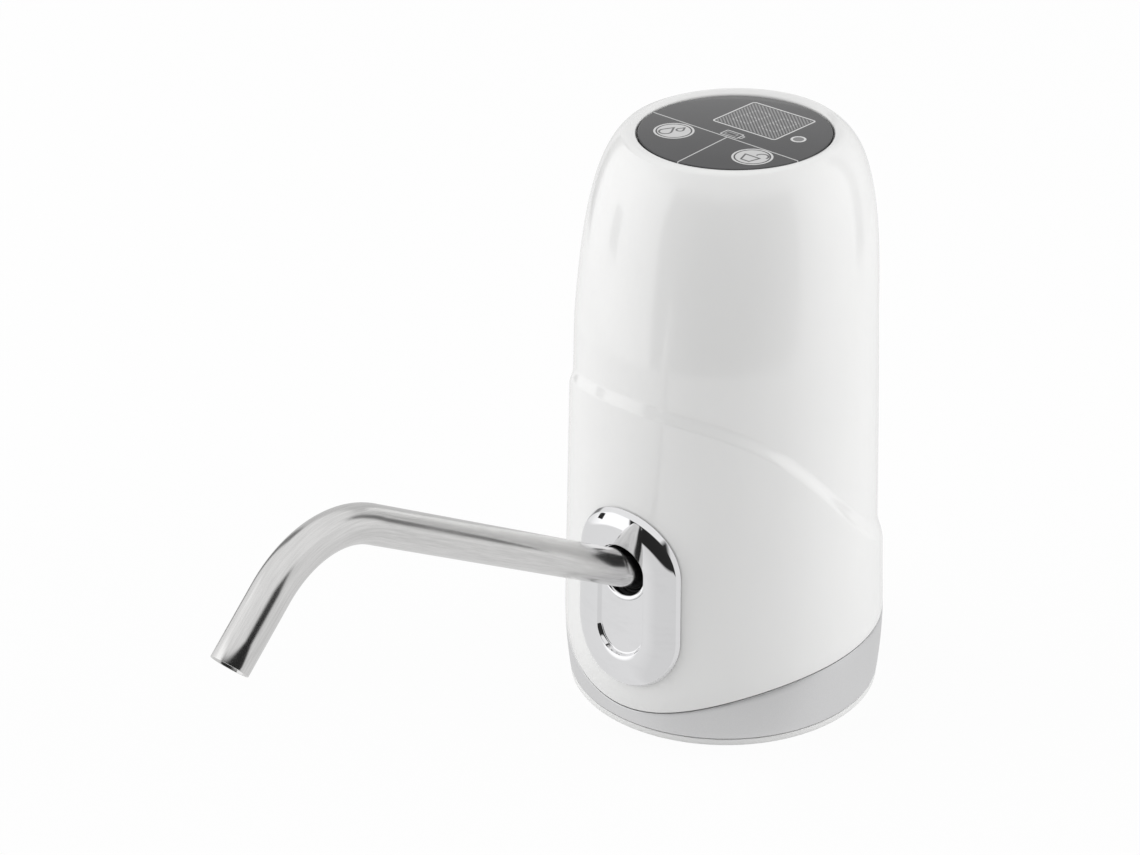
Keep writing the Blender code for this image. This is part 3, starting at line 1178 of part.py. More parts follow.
def make_board_parts(display, steel, lamp, black, panel_axis):
    """What the control board carries: display, key springs, lamp, buzzer and chip."""
    top = BOARD_Z + BOARD_THICKNESS + SEAT
    under_panel = PANEL_TOP_Z - PANEL_THICKNESS
    prism("display_module", rounded_rectangle(-0.5 * DISPLAY_WIDTH, 0.5 * DISPLAY_WIDTH, -0.5 * DISPLAY_DEPTH,
                                              0.5 * DISPLAY_DEPTH, CHIP_CORNER, 1),
          top, under_panel - DISPLAY_GAP, display, panel_axis, (DISPLAY_X, DISPLAY_Y, 0.0))
    for name, x in (("touch_spring_left", -KEY_X), ("touch_spring_right", KEY_X)):
        low, high = top + SPRING_WIRE, under_panel - SEAT - SPRING_WIRE
        count = SPRING_TURNS * SPRING_STEPS
        coil = [Vector((SPRING_RADIUS * math.cos(FULL_TURN * index / SPRING_STEPS),
                        SPRING_RADIUS * math.sin(FULL_TURN * index / SPRING_STEPS),
                        low + (high - low) * index / count)) for index in range(count + 1)]
        pipe(name, coil, SPRING_WIRE, 0.0, LEAD_SIDES, steel, panel_axis, (x, KEY_Y, 0.0))
    led = ((0.0, top), (LED_RADIUS + LED_SKIRT, top), (LED_RADIUS + LED_SKIRT, top + 2.0 * LED_SKIRT),
           (LED_RADIUS, top + 2.0 * LED_SKIRT), (LED_RADIUS, top + LED_HEIGHT - LED_RADIUS),
           (0.7 * LED_RADIUS, top + LED_HEIGHT - 0.3 * LED_RADIUS), (0.0, top + LED_HEIGHT))
    turned("status_led", led, STEPS_TINY, lamp, panel_axis, (LED_X, LED_Y, 0.0))
    under = BOARD_Z - SEAT
    low = under - BUZZER_HEIGHT
    buzzer = ((0.0, low + BUZZER_HOLE), (BUZZER_HOLE, low + BUZZER_HOLE), (BUZZER_HOLE, low),
              (BUZZER_RADIUS, low), (BUZZER_RADIUS, under), (0.0, under))
    turned("buzzer", buzzer, STEPS_SMALL, black, panel_axis, (BUZZER_X, BUZZER_Y, 0.0))
    half = 0.5 * CHIP_SIDE
    prism("control_chip", rounded_rectangle(-half, half, -half, half, CHIP_CORNER, 1), under - CHIP_THICKNESS,
          under, black, panel_axis)


def make_charge_port(board_finish, steel, frame):
    low = CEILING_TOP_Z + SEAT
    half = 0.5 * CHARGE_WIDTH
    box("charge_board", (-half, CHARGE_Y, low), (half, CHARGE_Y + CHARGE_THICKNESS, low + CHARGE_HEIGHT),
        board_finish, frame)
    axis = empty("charge_axis", frame, (0.0, USB_REACH_Y, USB_Z), math.radians(90.0))
    back = USB_REACH_Y - CHARGE_Y - CHARGE_THICKNESS - SEAT
    wide, tall = 0.5 * USB_WIDTH, 0.5 * USB_HEIGHT
    outline = rounded_rectangle(-wide, wide, -tall, tall, 0.8 * tall)
    shell = prism("usb_socket", outline, 0.0, back, steel, axis)
    hollow = rounded_rectangle(USB_WALL - wide, wide - USB_WALL, USB_WALL - tall, tall - USB_WALL,
                               0.8 * (tall - USB_WALL))
    cut(shell, prism("hollow", hollow, -OVERRUN, USB_DEPTH, None, axis))
    tongue_half = 0.6 * wide
    tongue = box("tongue", (-tongue_half, -0.5 * USB_TONGUE, 2.0 * USB_WALL),
                 (tongue_half, 0.5 * USB_TONGUE, USB_DEPTH + USB_WALL), None, axis)
    return join(shell, tongue)


def inside(across, back, up):
    """A place inside the shell: shares of the deck's radius, and of the way up to the board."""
    return (across * DECK_RADIUS, back * DECK_RADIUS, DECK_Z + up * (BOARD_Z - DECK_Z))


def make_leads(red, black, frame):
    """The leads' routes, from point to point inside the shell."""
    cell_top = CEILING_TOP_Z + CRADLE_FLOOR + 2.0 * SEAT + CELL_HEIGHT + CELL_CAP_HEIGHT + SEAT + LEAD_RADIUS
    tag_top = terminal_base() + TERMINAL_HEIGHT + SEAT
    left, right = PUMP_X - TERMINAL_PLACE, PUMP_X + TERMINAL_PLACE
    charge_top = CEILING_TOP_Z + 2.0 * SEAT + CHARGE_HEIGHT
    charge_middle = CHARGE_Y + 0.5 * CHARGE_THICKNESS
    charge_x, charge_y = CHARGE_LEAD_PLACE
    beside_x, beside_y = cell_lead_place()
    routes = {
        "battery_lead_positive": (red, [(CELL_X, CELL_Y, cell_top)], POSITIVE_ROUTE_SHARES),
        "battery_lead_negative": (black, [(beside_x, beside_y, CEILING_TOP_Z + SEAT),
                                          (beside_x, beside_y, 0.5 * (CEILING_TOP_Z + DECK_Z)),
                                          (beside_x, beside_y, DECK_Z),
                                          (beside_x, beside_y, DECK_TOP_Z + CRADLE_HEIGHT)],
                                  NEGATIVE_ROUTE_SHARES),
        "motor_lead_left": (red, [(left, PUMP_Y, tag_top)], LEFT_ROUTE_SHARES),
        "motor_lead_right": (black, [(right, PUMP_Y, tag_top)], RIGHT_ROUTE_SHARES),
        "charge_lead": (black, [(0.0, charge_middle, charge_top),
                                (0.5 * charge_x, charge_middle, charge_top + CRADLE_HEIGHT),
                                (charge_x, charge_y, DECK_Z)], CHARGE_ROUTE_SHARES),
    }
    for name, (material, start, shares) in routes.items():
        places = start + [inside(*share) for share in shares]
        places[-1] = (places[-1][0], places[-1][1], BOARD_Z - SEAT)
        pipe(name, smooth_route(places, LEAD_STEPS), LEAD_RADIUS, 0.0, LEAD_SIDES, material, frame)


def main():
    clear_scene()
    white = finish("white_plastic", (0.82, 0.82, 0.81), 0.22)
    silver = finish("silver_plating", (0.62, 0.62, 0.62), 0.35, 1.0)
    chrome = finish("chrome", (0.86, 0.86, 0.86), 0.06, 1.0)
    steel = finish("stainless_steel", (0.62, 0.61, 0.60), 0.24, 1.0)
    smoked = finish("smoked_panel", (0.05, 0.05, 0.055), 0.12)
    rubber = finish("black_rubber", (0.03, 0.03, 0.03), 0.7)
    silicone = finish("clear_silicone", (0.75, 0.75, 0.72), 0.5)
    natural = finish("natural_plastic", (0.72, 0.71, 0.66), 0.45)
    dark = finish("dark_plastic", (0.06, 0.06, 0.065), 0.5)
    brass = finish("brass", (0.72, 0.55, 0.28), 0.3, 1.0)
    copper = finish("copper", (0.72, 0.38, 0.22), 0.35, 1.0)
    iron = finish("silicon_steel", (0.33, 0.33, 0.34), 0.45, 1.0)
    ferrite = finish("ferrite", (0.09, 0.09, 0.09), 0.75)
    board_green = finish("circuit_board", (0.03, 0.20, 0.09), 0.4)
    wrap = finish("cell_wrap", (0.08, 0.22, 0.50), 0.4)
    display = finish("display_face", (0.10, 0.10, 0.10), 0.3)
    lamp = finish("lamp_lens", (0.75, 0.80, 0.85), 0.15)
    red = finish("red_lead", (0.55, 0.03, 0.03), 0.5)

    frame = empty("foot_plane", None, (0.0, 0.0, -SOCKET_DEPTH))
    spout_axis = empty("spout_axis", frame, (0.0, -SPOUT_ROOT_RADIUS, SPOUT_ROOT_Z), SPOUT_TILT)
    panel_axis = empty("panel_axis", frame, (0.0, CROWN_SETBACK, 0.0))
    motor_axis = empty("motor_axis", frame, (PUMP_X, PUMP_Y, 0.0))
    idler_axis = empty("idler_axis", frame, (PUMP_X + GEAR_CENTRES, PUMP_Y, 0.0))

    make_foot(white, frame)
    make_grip_ring(silicone, frame)
    make_band(silver, frame)
    make_shell(white, frame, spout_axis)
    make_panel(smoked, panel_axis)
    make_display_frame(dark, panel_axis)
    make_escutcheon(chrome, frame, spout_axis)
    make_collar(chrome, spout_axis)
    make_spout(steel, spout_axis)
    make_seal("spout_o_ring_outer", SEAL_OUTER_PLACE, rubber, spout_axis)
    make_seal("spout_o_ring_inner", SEAL_INNER_PLACE, rubber, spout_axis)
    make_spout_socket(natural, frame, spout_axis)
    make_nipple(natural, frame)
    make_inlet_hose(silicone, frame)
    make_outlet_hose(silicone, frame)
    make_deck(natural, frame)
    make_pump_body(dark, frame)
    make_pump_gasket(rubber, frame)
    make_pump_cover(dark, frame)
    make_gear("drive_gear", MOTOR_SHAFT_RADIUS + RUNNING, 0.0, natural, motor_axis)
    make_gear("idler_gear", IDLER_PIN_RADIUS + RUNNING, 0.5, natural, idler_axis)
    rod("idler_pin", IDLER_PIN_RADIUS, PUMP_COVER_Z + 0.5 * PUMP_COVER_THICKNESS + SEAT,
        CHAMBER_TOP_Z + SCREW_HEAD_HEIGHT - SEAT, STEPS_SMALL, steel, idler_axis)
    make_shaft_seal(rubber, motor_axis)
    make_motor_can(steel, frame, motor_axis)
    make_motor_cap(dark, motor_axis)
    make_magnet("motor_magnet_left", 180.0, ferrite, motor_axis)
    make_magnet("motor_magnet_right", 0.0, ferrite, motor_axis)
    make_armature(iron, motor_axis)
    make_winding(copper, motor_axis)
    make_rotor(steel, copper, motor_axis)
    make_bushes(brass, motor_axis)
    make_terminals(copper, motor_axis)
    make_battery(wrap, dark, frame)
    make_board(board_green, panel_axis)
    make_board_parts(display, steel, lamp, dark, panel_axis)
    make_charge_port(board_green, steel, frame)
    make_screws(steel, frame, panel_axis)
    make_leads(red, dark, frame)


main()
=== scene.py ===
"""Dresses the bottled water pump: finer meshes for what shows, and a finish for every piece.

Lengths are in metres in the model's own frame, +Z up, with the spout pointing to -Y. Heights are
written up from the foot's lower face, and a mesh is shifted down by FOOT_DROP when it is made.
"""
from __future__ import annotations

import json
import logging
import math
from contextlib import contextmanager
from dataclasses import dataclass
from enum import Enum
from functools import lru_cache, reduce
from typing import Callable, Iterator, Sequence, Union

import bmesh
import bpy
from mathutils import Matrix, Vector


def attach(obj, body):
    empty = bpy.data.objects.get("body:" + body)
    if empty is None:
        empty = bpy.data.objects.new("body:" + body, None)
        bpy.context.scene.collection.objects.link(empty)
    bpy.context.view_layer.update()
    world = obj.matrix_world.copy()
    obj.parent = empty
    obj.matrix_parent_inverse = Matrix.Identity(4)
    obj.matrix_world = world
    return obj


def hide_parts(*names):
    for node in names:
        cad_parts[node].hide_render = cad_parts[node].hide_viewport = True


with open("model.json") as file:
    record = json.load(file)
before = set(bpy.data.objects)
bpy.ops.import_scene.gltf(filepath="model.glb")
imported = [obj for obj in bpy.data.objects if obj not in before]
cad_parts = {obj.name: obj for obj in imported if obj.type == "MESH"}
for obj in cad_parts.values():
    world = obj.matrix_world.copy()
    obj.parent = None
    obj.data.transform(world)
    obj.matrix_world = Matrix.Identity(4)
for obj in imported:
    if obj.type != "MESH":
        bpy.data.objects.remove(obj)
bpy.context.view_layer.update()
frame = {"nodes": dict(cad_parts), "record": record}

log = logging.getLogger("pump")

MM = 0.001
FULL_TURN = 2.0 * math.pi

# How far the foot lies under the model's origin, and the gap between pieces that are seated.
FOOT_DROP = 0.020
SEAT = 0.0003

# How far from its corner a rounding starts.
HAIR = 0.0001
CRISP = 0.0002
EASED = 0.0003
SOFT = 0.0004
ROUND = 0.0006
BROAD = 0.0008

# The greatest share of a side that one corner's rounding takes.
CORNER_SHARE = 0.48

# How near two points are that become one, in a new mesh and in one that has been cut.
MERGE = 1e-7
MERGE_CUT = 2e-6

# Where the water inlet stands, across and back from the middle.
INLET_PLACE = (-0.0030, 0.0090)

# The span that nearly all of a noise's values lie in.
MIDDLE = (0.3, 0.7)

Colour = tuple[float, float, float]
Corner = tuple[float, float, float]
Point = tuple[float, float, float]
Pair = tuple[float, float]
Four = tuple[float, float, float, float]


# Node trees


class Sock:
    """A node's output that Python operators turn into Math nodes."""

    def __init__(self, sheet: "NodeSheet", socket: bpy.types.NodeSocket) -> None:
        """Keeps the tree that the socket belongs to."""
        self.sheet = sheet
        self.socket = socket

    def math(self, operation: str, other: "Value" = 0.0, swap: bool = False) -> "Sock":
        """Adds a Math node on this and another value, the other first where swap is set."""
        first, second = (other, self) if swap else (self, other)
        return self.sheet.node("ShaderNodeMath", {"operation": operation}, {0: first, 1: second})

    def __add__(self, other: "Value") -> "Sock":
        """Adds."""
        return self.math("ADD", other)

    __radd__ = __add__

    def __sub__(self, other: "Value") -> "Sock":
        """Subtracts."""
        return self.math("SUBTRACT", other)

    def __rsub__(self, other: "Value") -> "Sock":
        """Subtracts from a number."""
        return self.math("SUBTRACT", other, swap=True)

    def __mul__(self, other: "Value") -> "Sock":
        """Multiplies."""
        return self.math("MULTIPLY", other)

    __rmul__ = __mul__

    def __truediv__(self, other: "Value") -> "Sock":
        """Divides."""
        return self.math("DIVIDE", other)

    def __lt__(self, other: "Value") -> "Sock":
        """Gives 1 where this is the smaller."""
        return self.math("LESS_THAN", other)

    def __gt__(self, other: "Value") -> "Sock":
        """Gives 1 where this is the greater."""
        return self.math("GREATER_THAN", other)

    def __abs__(self) -> "Sock":
        """Drops the sign."""
        return self.math("ABSOLUTE")

    def least(self, other: "Value") -> "Sock":
        """Gives the smaller of two."""
        return self.math("MINIMUM", other)

    def most(self, other: "Value") -> "Sock":
        """Gives the greater of two."""
        return self.math("MAXIMUM", other)

    def between(self, low: float, high: float) -> "Sock":
        """Stretches the span from low to high onto 0 to 1, held at both ends."""
        return self.sheet.node("ShaderNodeMapRange", {"clamp": True}, {0: self, 1: low, 2: high})


Value = Union[Sock, float, int, tuple]


class NodeSheet:
    """A node tree that nodes are added to one call at a time."""

    def __init__(self, tree: bpy.types.NodeTree) -> None:
        """Keeps the tree."""
        self.tree = tree

    def node(self, kind: str, settings: dict | None = None, inputs: dict | None = None,
             output: int | str = 0) -> Sock:
        """Adds one node.

        Args:
            kind: the node's type.
            settings: its settings, set first. A ramp's stops are (position, grey) pairs.
            inputs: a value or a link for each socket, by name or place.
            output: which output is wanted.

        Returns:
            The wanted output.
        """
        made = self.tree.nodes.new(kind)
        for key, value in (settings or {}).items():
            if key == "stops":
                ramp = made.color_ramp
                while len(ramp.elements) < len(value):
                    ramp.elements.new(0.5)
                for element, (place, grey) in zip(ramp.elements, value):
                    element.position = place
                    element.color = (grey, grey, grey, 1.0)
            else:
                setattr(made, key, value)
        for key, value in (inputs or {}).items():
            self.feed(made.inputs[key], value)
        return Sock(self, made.outputs[output])

    def feed(self, socket: bpy.types.NodeSocket, value: Value) -> None:
        """Sets a socket's value, or links something to it.

        Args:
            socket: an input socket.
            value: a link, a number, a vector, or a colour of three channels.
        """
        if isinstance(value, Sock):
            self.tree.links.new(value.socket, socket)
        elif isinstance(value, tuple) and socket.type == "RGBA" and len(value) == 3:
            socket.default_value = (*value, 1.0)
        else:
            socket.default_value = value

    def place(self, scale: float = 1.0, stretch: Point = (1.0, 1.0, 1.0),
              shift: Point = (0.0, 0.0, 0.0)) -> Sock:
        """Gives the piece's own coordinates, shifted and scaled.

        Args:
            scale: the factor for all three axes.
            stretch: a further factor for each axis.
            shift: what is taken off first.

        Returns:
            The coordinates.
        """
        spot = self.node("ShaderNodeTexCoord", output="Object")
        moved = self.node("ShaderNodeVectorMath", {"operation": "SUBTRACT"}, {0: spot, 1: shift})
        factors = tuple(scale * share for share in stretch)
        return self.node("ShaderNodeVectorMath", {"operation": "MULTIPLY"}, {0: moved, 1: factors})

    def axis(self, spot: Sock, name: str) -> Sock:
        """Gives one coordinate of a point, by its letter."""
        return self.node("ShaderNodeSeparateXYZ", None, {0: spot}, name)

    def stored(self, name: str, output: str) -> Sock:
        """Gives an attribute that the piece's mesh carries."""
        return self.node("ShaderNodeAttribute", {"attribute_name": name}, output=output)

    def ray(self, kind: str) -> Sock:
        """Gives 1 for the light rays of one kind."""
        return self.node("ShaderNodeLightPath", output=f"Is {kind} Ray")

    def about_z(self, spot: Sock, degrees: float) -> Sock:
        """Turns coordinates about the vertical."""
        return self.node("ShaderNodeVectorRotate", {"rotation_type": "Z_AXIS"},
                         {"Vector": spot, "Angle": math.radians(degrees)})

    def blend(self, share: Value, first: Value, second: Value) -> Sock:
        """Mixes two colours by a share."""
        return self.node("ShaderNodeMix", {"data_type": "RGBA"}, {0: share, 6: first, 7: second}, 2)


@dataclass(frozen=True)
class Pattern:
    """A noise pattern: its cells per metre, its detail, and the span of its values that is used."""

    scale: float
    detail: float = 2.0
    roughness: float = 0.5
    stretch: Point = (1.0, 1.0, 1.0)
    span: Pair | None = None

    def on(self, sheet: NodeSheet, spot: Sock | None = None) -> Sock:
        """Adds the pattern to a tree.

        Args:
            sheet: the tree.
            spot: where the pattern is read. None stands for the piece's own coordinates.

        Returns:
            The pattern's value.
        """
        spot = spot or sheet.place(stretch=self.stretch)
        value = sheet.node("ShaderNodeTexNoise", {"noise_dimensions": "3D"},
                           {"Vector": spot, "Scale": self.scale, "Detail": self.detail,
                            "Roughness": self.roughness})
        return value.between(*self.span) if self.span else value


# Finishes


class MaterialSheet(NodeSheet):
    """A material's node tree, with the shader that it starts with."""

    def __init__(self, material: bpy.types.Material) -> None:
        """Keeps the material's tree and shader."""
        super().__init__(material.node_tree)
        self.shader = material.node_tree.nodes["Principled BSDF"]


@dataclass(frozen=True)
class Finish:
    """A surface finish, with its relief's depth in metres. A kind of finish adds its nodes in paint()."""

    name: str
    colour: Colour
    roughness: float
    metallic: float = 0.0
    coat: float = 0.0
    coat_roughness: float = 0.05
    relief: float = 0.00001
    relief_share: float = 0.5

    def paint(self, sheet: MaterialSheet) -> None:
        """Adds what varies over the surface."""
        raise NotImplementedError(self.name)

    def tones(self, sheet: MaterialSheet, share: Value, first: float, second: float = 1.0) -> Sock:
        """Mixes two shades of the finish's colour by a share."""
        return sheet.blend(share, shade(self.colour, first), shade(self.colour, second))

    def lay(self, sheet: MaterialSheet, base: Sock, rough: Sock, height: Sock) -> None:
        """Links what varies to the shader.

        Args:
            sheet: the material's tree.
            base: the colour.
            rough: the roughness.
            height: the relief, from 0 to 1.
        """
        normal = sheet.node("ShaderNodeBump", None, {"Height": height, "Distance": self.relief,
                                                     "Strength": self.relief_share})
        for name, value in (("Base Color", base), ("Roughness", rough), ("Normal", normal)):
            sheet.feed(sheet.shader.inputs[name], value)


@lru_cache(maxsize=None)
def stock(finish: Finish) -> bpy.types.Material:
    """Makes a finish's material, once.

    Args:
        finish: the finish.

    Returns:
        Its material.
    """
    material = bpy.data.materials.new(finish.name)
    material.use_nodes = True
    material.diffuse_color = (*finish.colour, 1.0)
    sheet = MaterialSheet(material)
    for name, value in (("Base Color", finish.colour), ("Roughness", finish.roughness),
                        ("Metallic", finish.metallic), ("Coat Weight", finish.coat),
                        ("Coat Roughness", finish.coat_roughness)):
        sheet.feed(sheet.shader.inputs[name], value)
    finish.paint(sheet)
    return material


def shade(colour: Colour, factor: float) -> Colour:
    """Gives a colour made lighter or darker."""
    return tuple(min(channel * factor, 1.0) for channel in colour)


def per_metre(size_mm: float) -> float:
    """Gives a pattern's scale from the size of its cells."""
    return 1.0 / (size_mm * MM)


def most_of(values: Sequence[Sock]) -> Sock:
    """Gives the greatest of several values."""
    return reduce(Sock.most, values)


@dataclass(frozen=True)
class Moulded(Finish):
    """Injection-moulded plastic: faint flow clouds, a fine skin and light handling marks."""

    relief: float = 0.000004
    relief_share: float = 1.0
    cloud: float = 0.02
    grain_mm: float = 0.6
    marks: float = 0.05
    flow: Pattern = Pattern(55.0, 3.0, stretch=(1.0, 1.0, 0.35), span=MIDDLE)
    rub: Pattern = Pattern(140.0, 4.0, 0.65, span=(0.45, 0.8))

    def paint(self, sheet: MaterialSheet) -> None:
        """Adds the clouds, the marks and the skin.

        Args:
            sheet: the material's tree.
        """
        base = self.tones(sheet, self.flow.on(sheet), 1.0 - self.cloud)
        skin_grain = Pattern(per_metre(self.grain_mm)).on(sheet)
        self.lay(sheet, base, self.roughness + self.marks * self.rub.on(sheet), skin_grain)


@dataclass(frozen=True)
class Plated(Finish):
    """Bright chrome over plastic: nearly even, with a slight swell and faint wiping smears."""

    relief_share: float = 0.6
    tone: Pair = (1.0, 0.96)
    smear: float = 0.04
    smears: Pattern = Pattern(160.0, 4.0, 0.6, (1.0, 1.0, 3.0), (0.5, 0.85))
    swell: Pattern = Pattern(90.0, 1.0)

    def paint(self, sheet: MaterialSheet) -> None:
        """Adds the smears and the swell.

        Args:
            sheet: the material's tree.
        """
        smears = self.smears.on(sheet)
        base = self.tones(sheet, smears, *self.tone)
        self.lay(sheet, base, self.roughness + self.smear * smears, self.swell.on(sheet))


@dataclass(frozen=True)
class PlatedMouth(Plated):
    """Bright chrome with painted shade in its hole: the hole's wall is painted near black, dull and not
    metallic, for the shade inside the mouth.

    The mesh carries the attribute inside, which is 1 on the points of the hole's wall.
    """

    # Painted shade: the near-black colour of the hole's wall stands for the shade inside the mouth.
    bore_painted_shade: Colour = (0.020, 0.020, 0.021)
    bore_roughness: float = 0.55

    def paint(self, sheet: MaterialSheet) -> None:
        """Adds the plating, then the painted shade on the hole's wall.

        Args:
            sheet: the material's tree.
        """
        super().paint(sheet)
        inside = sheet.stored("inside", "Fac")
        base, rough = sheet.shader.inputs["Base Color"], sheet.shader.inputs["Roughness"]
        plated, polish = (Sock(sheet, socket.links[0].from_socket) for socket in (base, rough))
        # The hole's wall takes the painted shade colour, a duller roughness and no metal.
        sheet.feed(base, sheet.blend(inside, plated, self.bore_painted_shade))
        sheet.feed(rough, polish + inside * (self.bore_roughness - self.roughness))
        sheet.feed(sheet.shader.inputs["Metallic"], 1.0 - inside)


@dataclass(frozen=True)
class SatinPaint(Finish):
    """Silver paint: metal flakes in a satin lacquer, with soft clouds and hairline rubs."""

    relief: float = 0.000003
    flake_mm: float = 0.12
    flake_span: Pair = (0.35, 0.65)
    flake_share: float = 0.5
    flake_shade: float = 1.12
    cloud_shade: float = 0.93
    cloud_dull: float = 0.08
    rub_gloss: float = 0.10
    clouds: Pattern = Pattern(38.0, 3.0, span=MIDDLE)
    rubs: Pattern = Pattern(220.0, 3.0, 0.7, (0.25, 0.25, 6.0), (0.62, 0.8))

    def paint(self, sheet: MaterialSheet) -> None:
        """Adds the flakes, clouds and rubs.

        Args:
            sheet: the material's tree.
        """
        flakes = Pattern(per_metre(self.flake_mm), 1.0).on(sheet)
        clouds = self.clouds.on(sheet)
        glint = self.flake_share * flakes.between(*self.flake_span)
        base = sheet.blend(glint, self.tones(sheet, clouds, self.cloud_shade),
                           shade(self.colour, self.flake_shade))
        rough = self.roughness + self.cloud_dull * clouds - self.rub_gloss * self.rubs.on(sheet)
        self.lay(sheet, base, rough, flakes)


@dataclass(frozen=True)
class DrawnSteel(Finish):
    """Stainless tube: fine draw lines along its length, dull bands and small scuffs.

    The draw lines follow two attributes that the tube's mesh carries: around, the place on its
    section, and along, the distance from its inner end.
    """

    relief: float = 0.000003
    tone: Pair = (0.84, 1.08)
    drift: float = 0.05
    fine_share: float = 0.6
    band_dull: float = 0.10
    scuff_dull: float = 0.06
    fine: Pattern = Pattern(2600.0, 3.0, 0.65)
    coarse: Pattern = Pattern(520.0)
    scuff: Pattern = Pattern(420.0, 4.0, 0.7, span=(0.60, 0.80))

    def paint(self, sheet: MaterialSheet) -> None:
        """Adds the draw lines, bands and scuffs.

        Args:
            sheet: the material's tree.
        """
        lift = sheet.node("ShaderNodeCombineXYZ", None, {"Z": sheet.stored("along", "Fac") * self.drift})
        thread = sheet.node("ShaderNodeVectorMath", {"operation": "ADD"},
                            {0: sheet.stored("around", "Vector"), 1: lift})
        fine, coarse = self.fine.on(sheet, thread), self.coarse.on(sheet, thread)
        lines = (self.fine_share * fine + (1.0 - self.fine_share) * coarse).between(*MIDDLE)
        rough = self.roughness + self.band_dull * coarse.between(*MIDDLE)
        rough = rough + self.scuff_dull * self.scuff.on(sheet)
        self.lay(sheet, self.tones(sheet, lines, *self.tone), rough, fine)


@dataclass(frozen=True)
class Machined(Finish):
    """Turned or rolled metal: fine rings about the vertical and dull patches."""

    relief: float = 0.000006
    relief_share: float = 0.6
    tone: Pair = (0.82, 1.06)
    ring_mm: float = 0.25
    ring_stretch: Point = (0.1, 0.1, 1.0)
    ring_share: float = 0.6
    patch_dull: float = 0.14
    patches: Pattern = Pattern(300.0, 4.0, 0.6, span=(0.4, 0.75))

    def paint(self, sheet: MaterialSheet) -> None:
        """Adds the rings and patches.

        Args:
            sheet: the material's tree.
        """
        rings = Pattern(per_metre(self.ring_mm), stretch=self.ring_stretch).on(sheet)
        patches = self.patches.on(sheet)
        mixed = self.ring_share * rings + (1.0 - self.ring_share) * patches
        base = self.tones(sheet, mixed, *self.tone)
        self.lay(sheet, base, self.roughness + self.patch_dull * patches, rings)


@dataclass(frozen=True)
class Layered(Finish):
    """A stack of punched sheets or a close winding: even lines a set pitch apart."""

    relief: float = 0.00004
    relief_share: float = 0.7
    tone: Pair = (0.55, 1.1)
    pitch_mm: float = 0.5
    line_share: float = 0.7
    patch_dull: float = 0.15
    patches: Pattern = Pattern(500.0, 3.0)

    def paint(self, sheet: MaterialSheet) -> None:
        """Adds the lines between the layers.

        Args:
            sheet: the material's tree.
        """
        phase = sheet.axis(sheet.place(), "Z") * (FULL_TURN * per_metre(self.pitch_mm))
        ripple = phase.math("SINE").between(-1.0, 1.0)
        patches = self.patches.on(sheet)
        mixed = self.line_share * ripple + (1.0 - self.line_share) * patches
        base = self.tones(sheet, mixed, *self.tone)
        self.lay(sheet, base, self.roughness + self.patch_dull * patches, ripple)


@dataclass(frozen=True)
class Elastic(Finish):
    """Rubber or silicone: dull, with a fine bloom and mould grain."""

    bloom: float = 0.25
    dust_dull: float = 0.12
    dust: Pattern = Pattern(260.0, 5.0, 0.7, span=(0.45, 0.85))
    grain: Pattern = Pattern(3800.0)

    def paint(self, sheet: MaterialSheet) -> None:
        """Adds the bloom and the grain.

        Args:
            sheet: the material's tree.
        """
        dust = self.dust.on(sheet)
        base = self.tones(sheet, dust, 1.0, 1.0 + self.bloom)
        self.lay(sheet, base, self.roughness + self.dust_dull * dust, self.grain.on(sheet))


@dataclass(frozen=True)
class Laminate(Finish):
    """A circuit board: green resist over copper tracks, with the glass weave showing faintly."""

    relief: float = 0.00003
    relief_share: float = 0.8
    tone: Pair = (1.0, 1.9)
    track_mm: float = 1.6
    track_span: Pair = (0.06, 0.10)
    weave_share: float = 0.25
    weave_shade: float = 0.5
    weave_dull: float = 0.1
    weave: Pattern = Pattern(2400.0, 1.0, stretch=(1.0, 0.2, 1.0))

    def paint(self, sheet: MaterialSheet) -> None:
        """Adds the tracks and the weave.

        Args:
            sheet: the material's tree.
        """
        cells = sheet.node("ShaderNodeTexVoronoi", {"feature": "DISTANCE_TO_EDGE"},
                           {"Vector": sheet.place(), "Scale": per_metre(self.track_mm)}, "Distance")
        track = 1.0 - cells.between(*self.track_span)
        weave = self.weave.on(sheet)
        base = sheet.blend(self.weave_share * weave, self.tones(sheet, track, *self.tone),
                           shade(self.colour, self.weave_shade))
        self.lay(sheet, base, self.roughness + self.weave_dull * weave, track)


class KeyMark(Enum):
    """What a touch key shows."""

    DROPS = "drops"
    CUP = "cup"


@dataclass(frozen=True)
class Inks:
    """How strong the print is on each part of the panel."""

    window: float = 0.92
    hatch: float = 0.30
    digit: float = 0.26
    rule: float = 0.80
    cell: float = 0.80
    core: float = 0.50
    nub: float = 0.72
    ring: float = 0.86
    disc: float = 0.80
    mark: float = 0.90
    lamp: float = 0.92
    lamp_face: float = 0.22


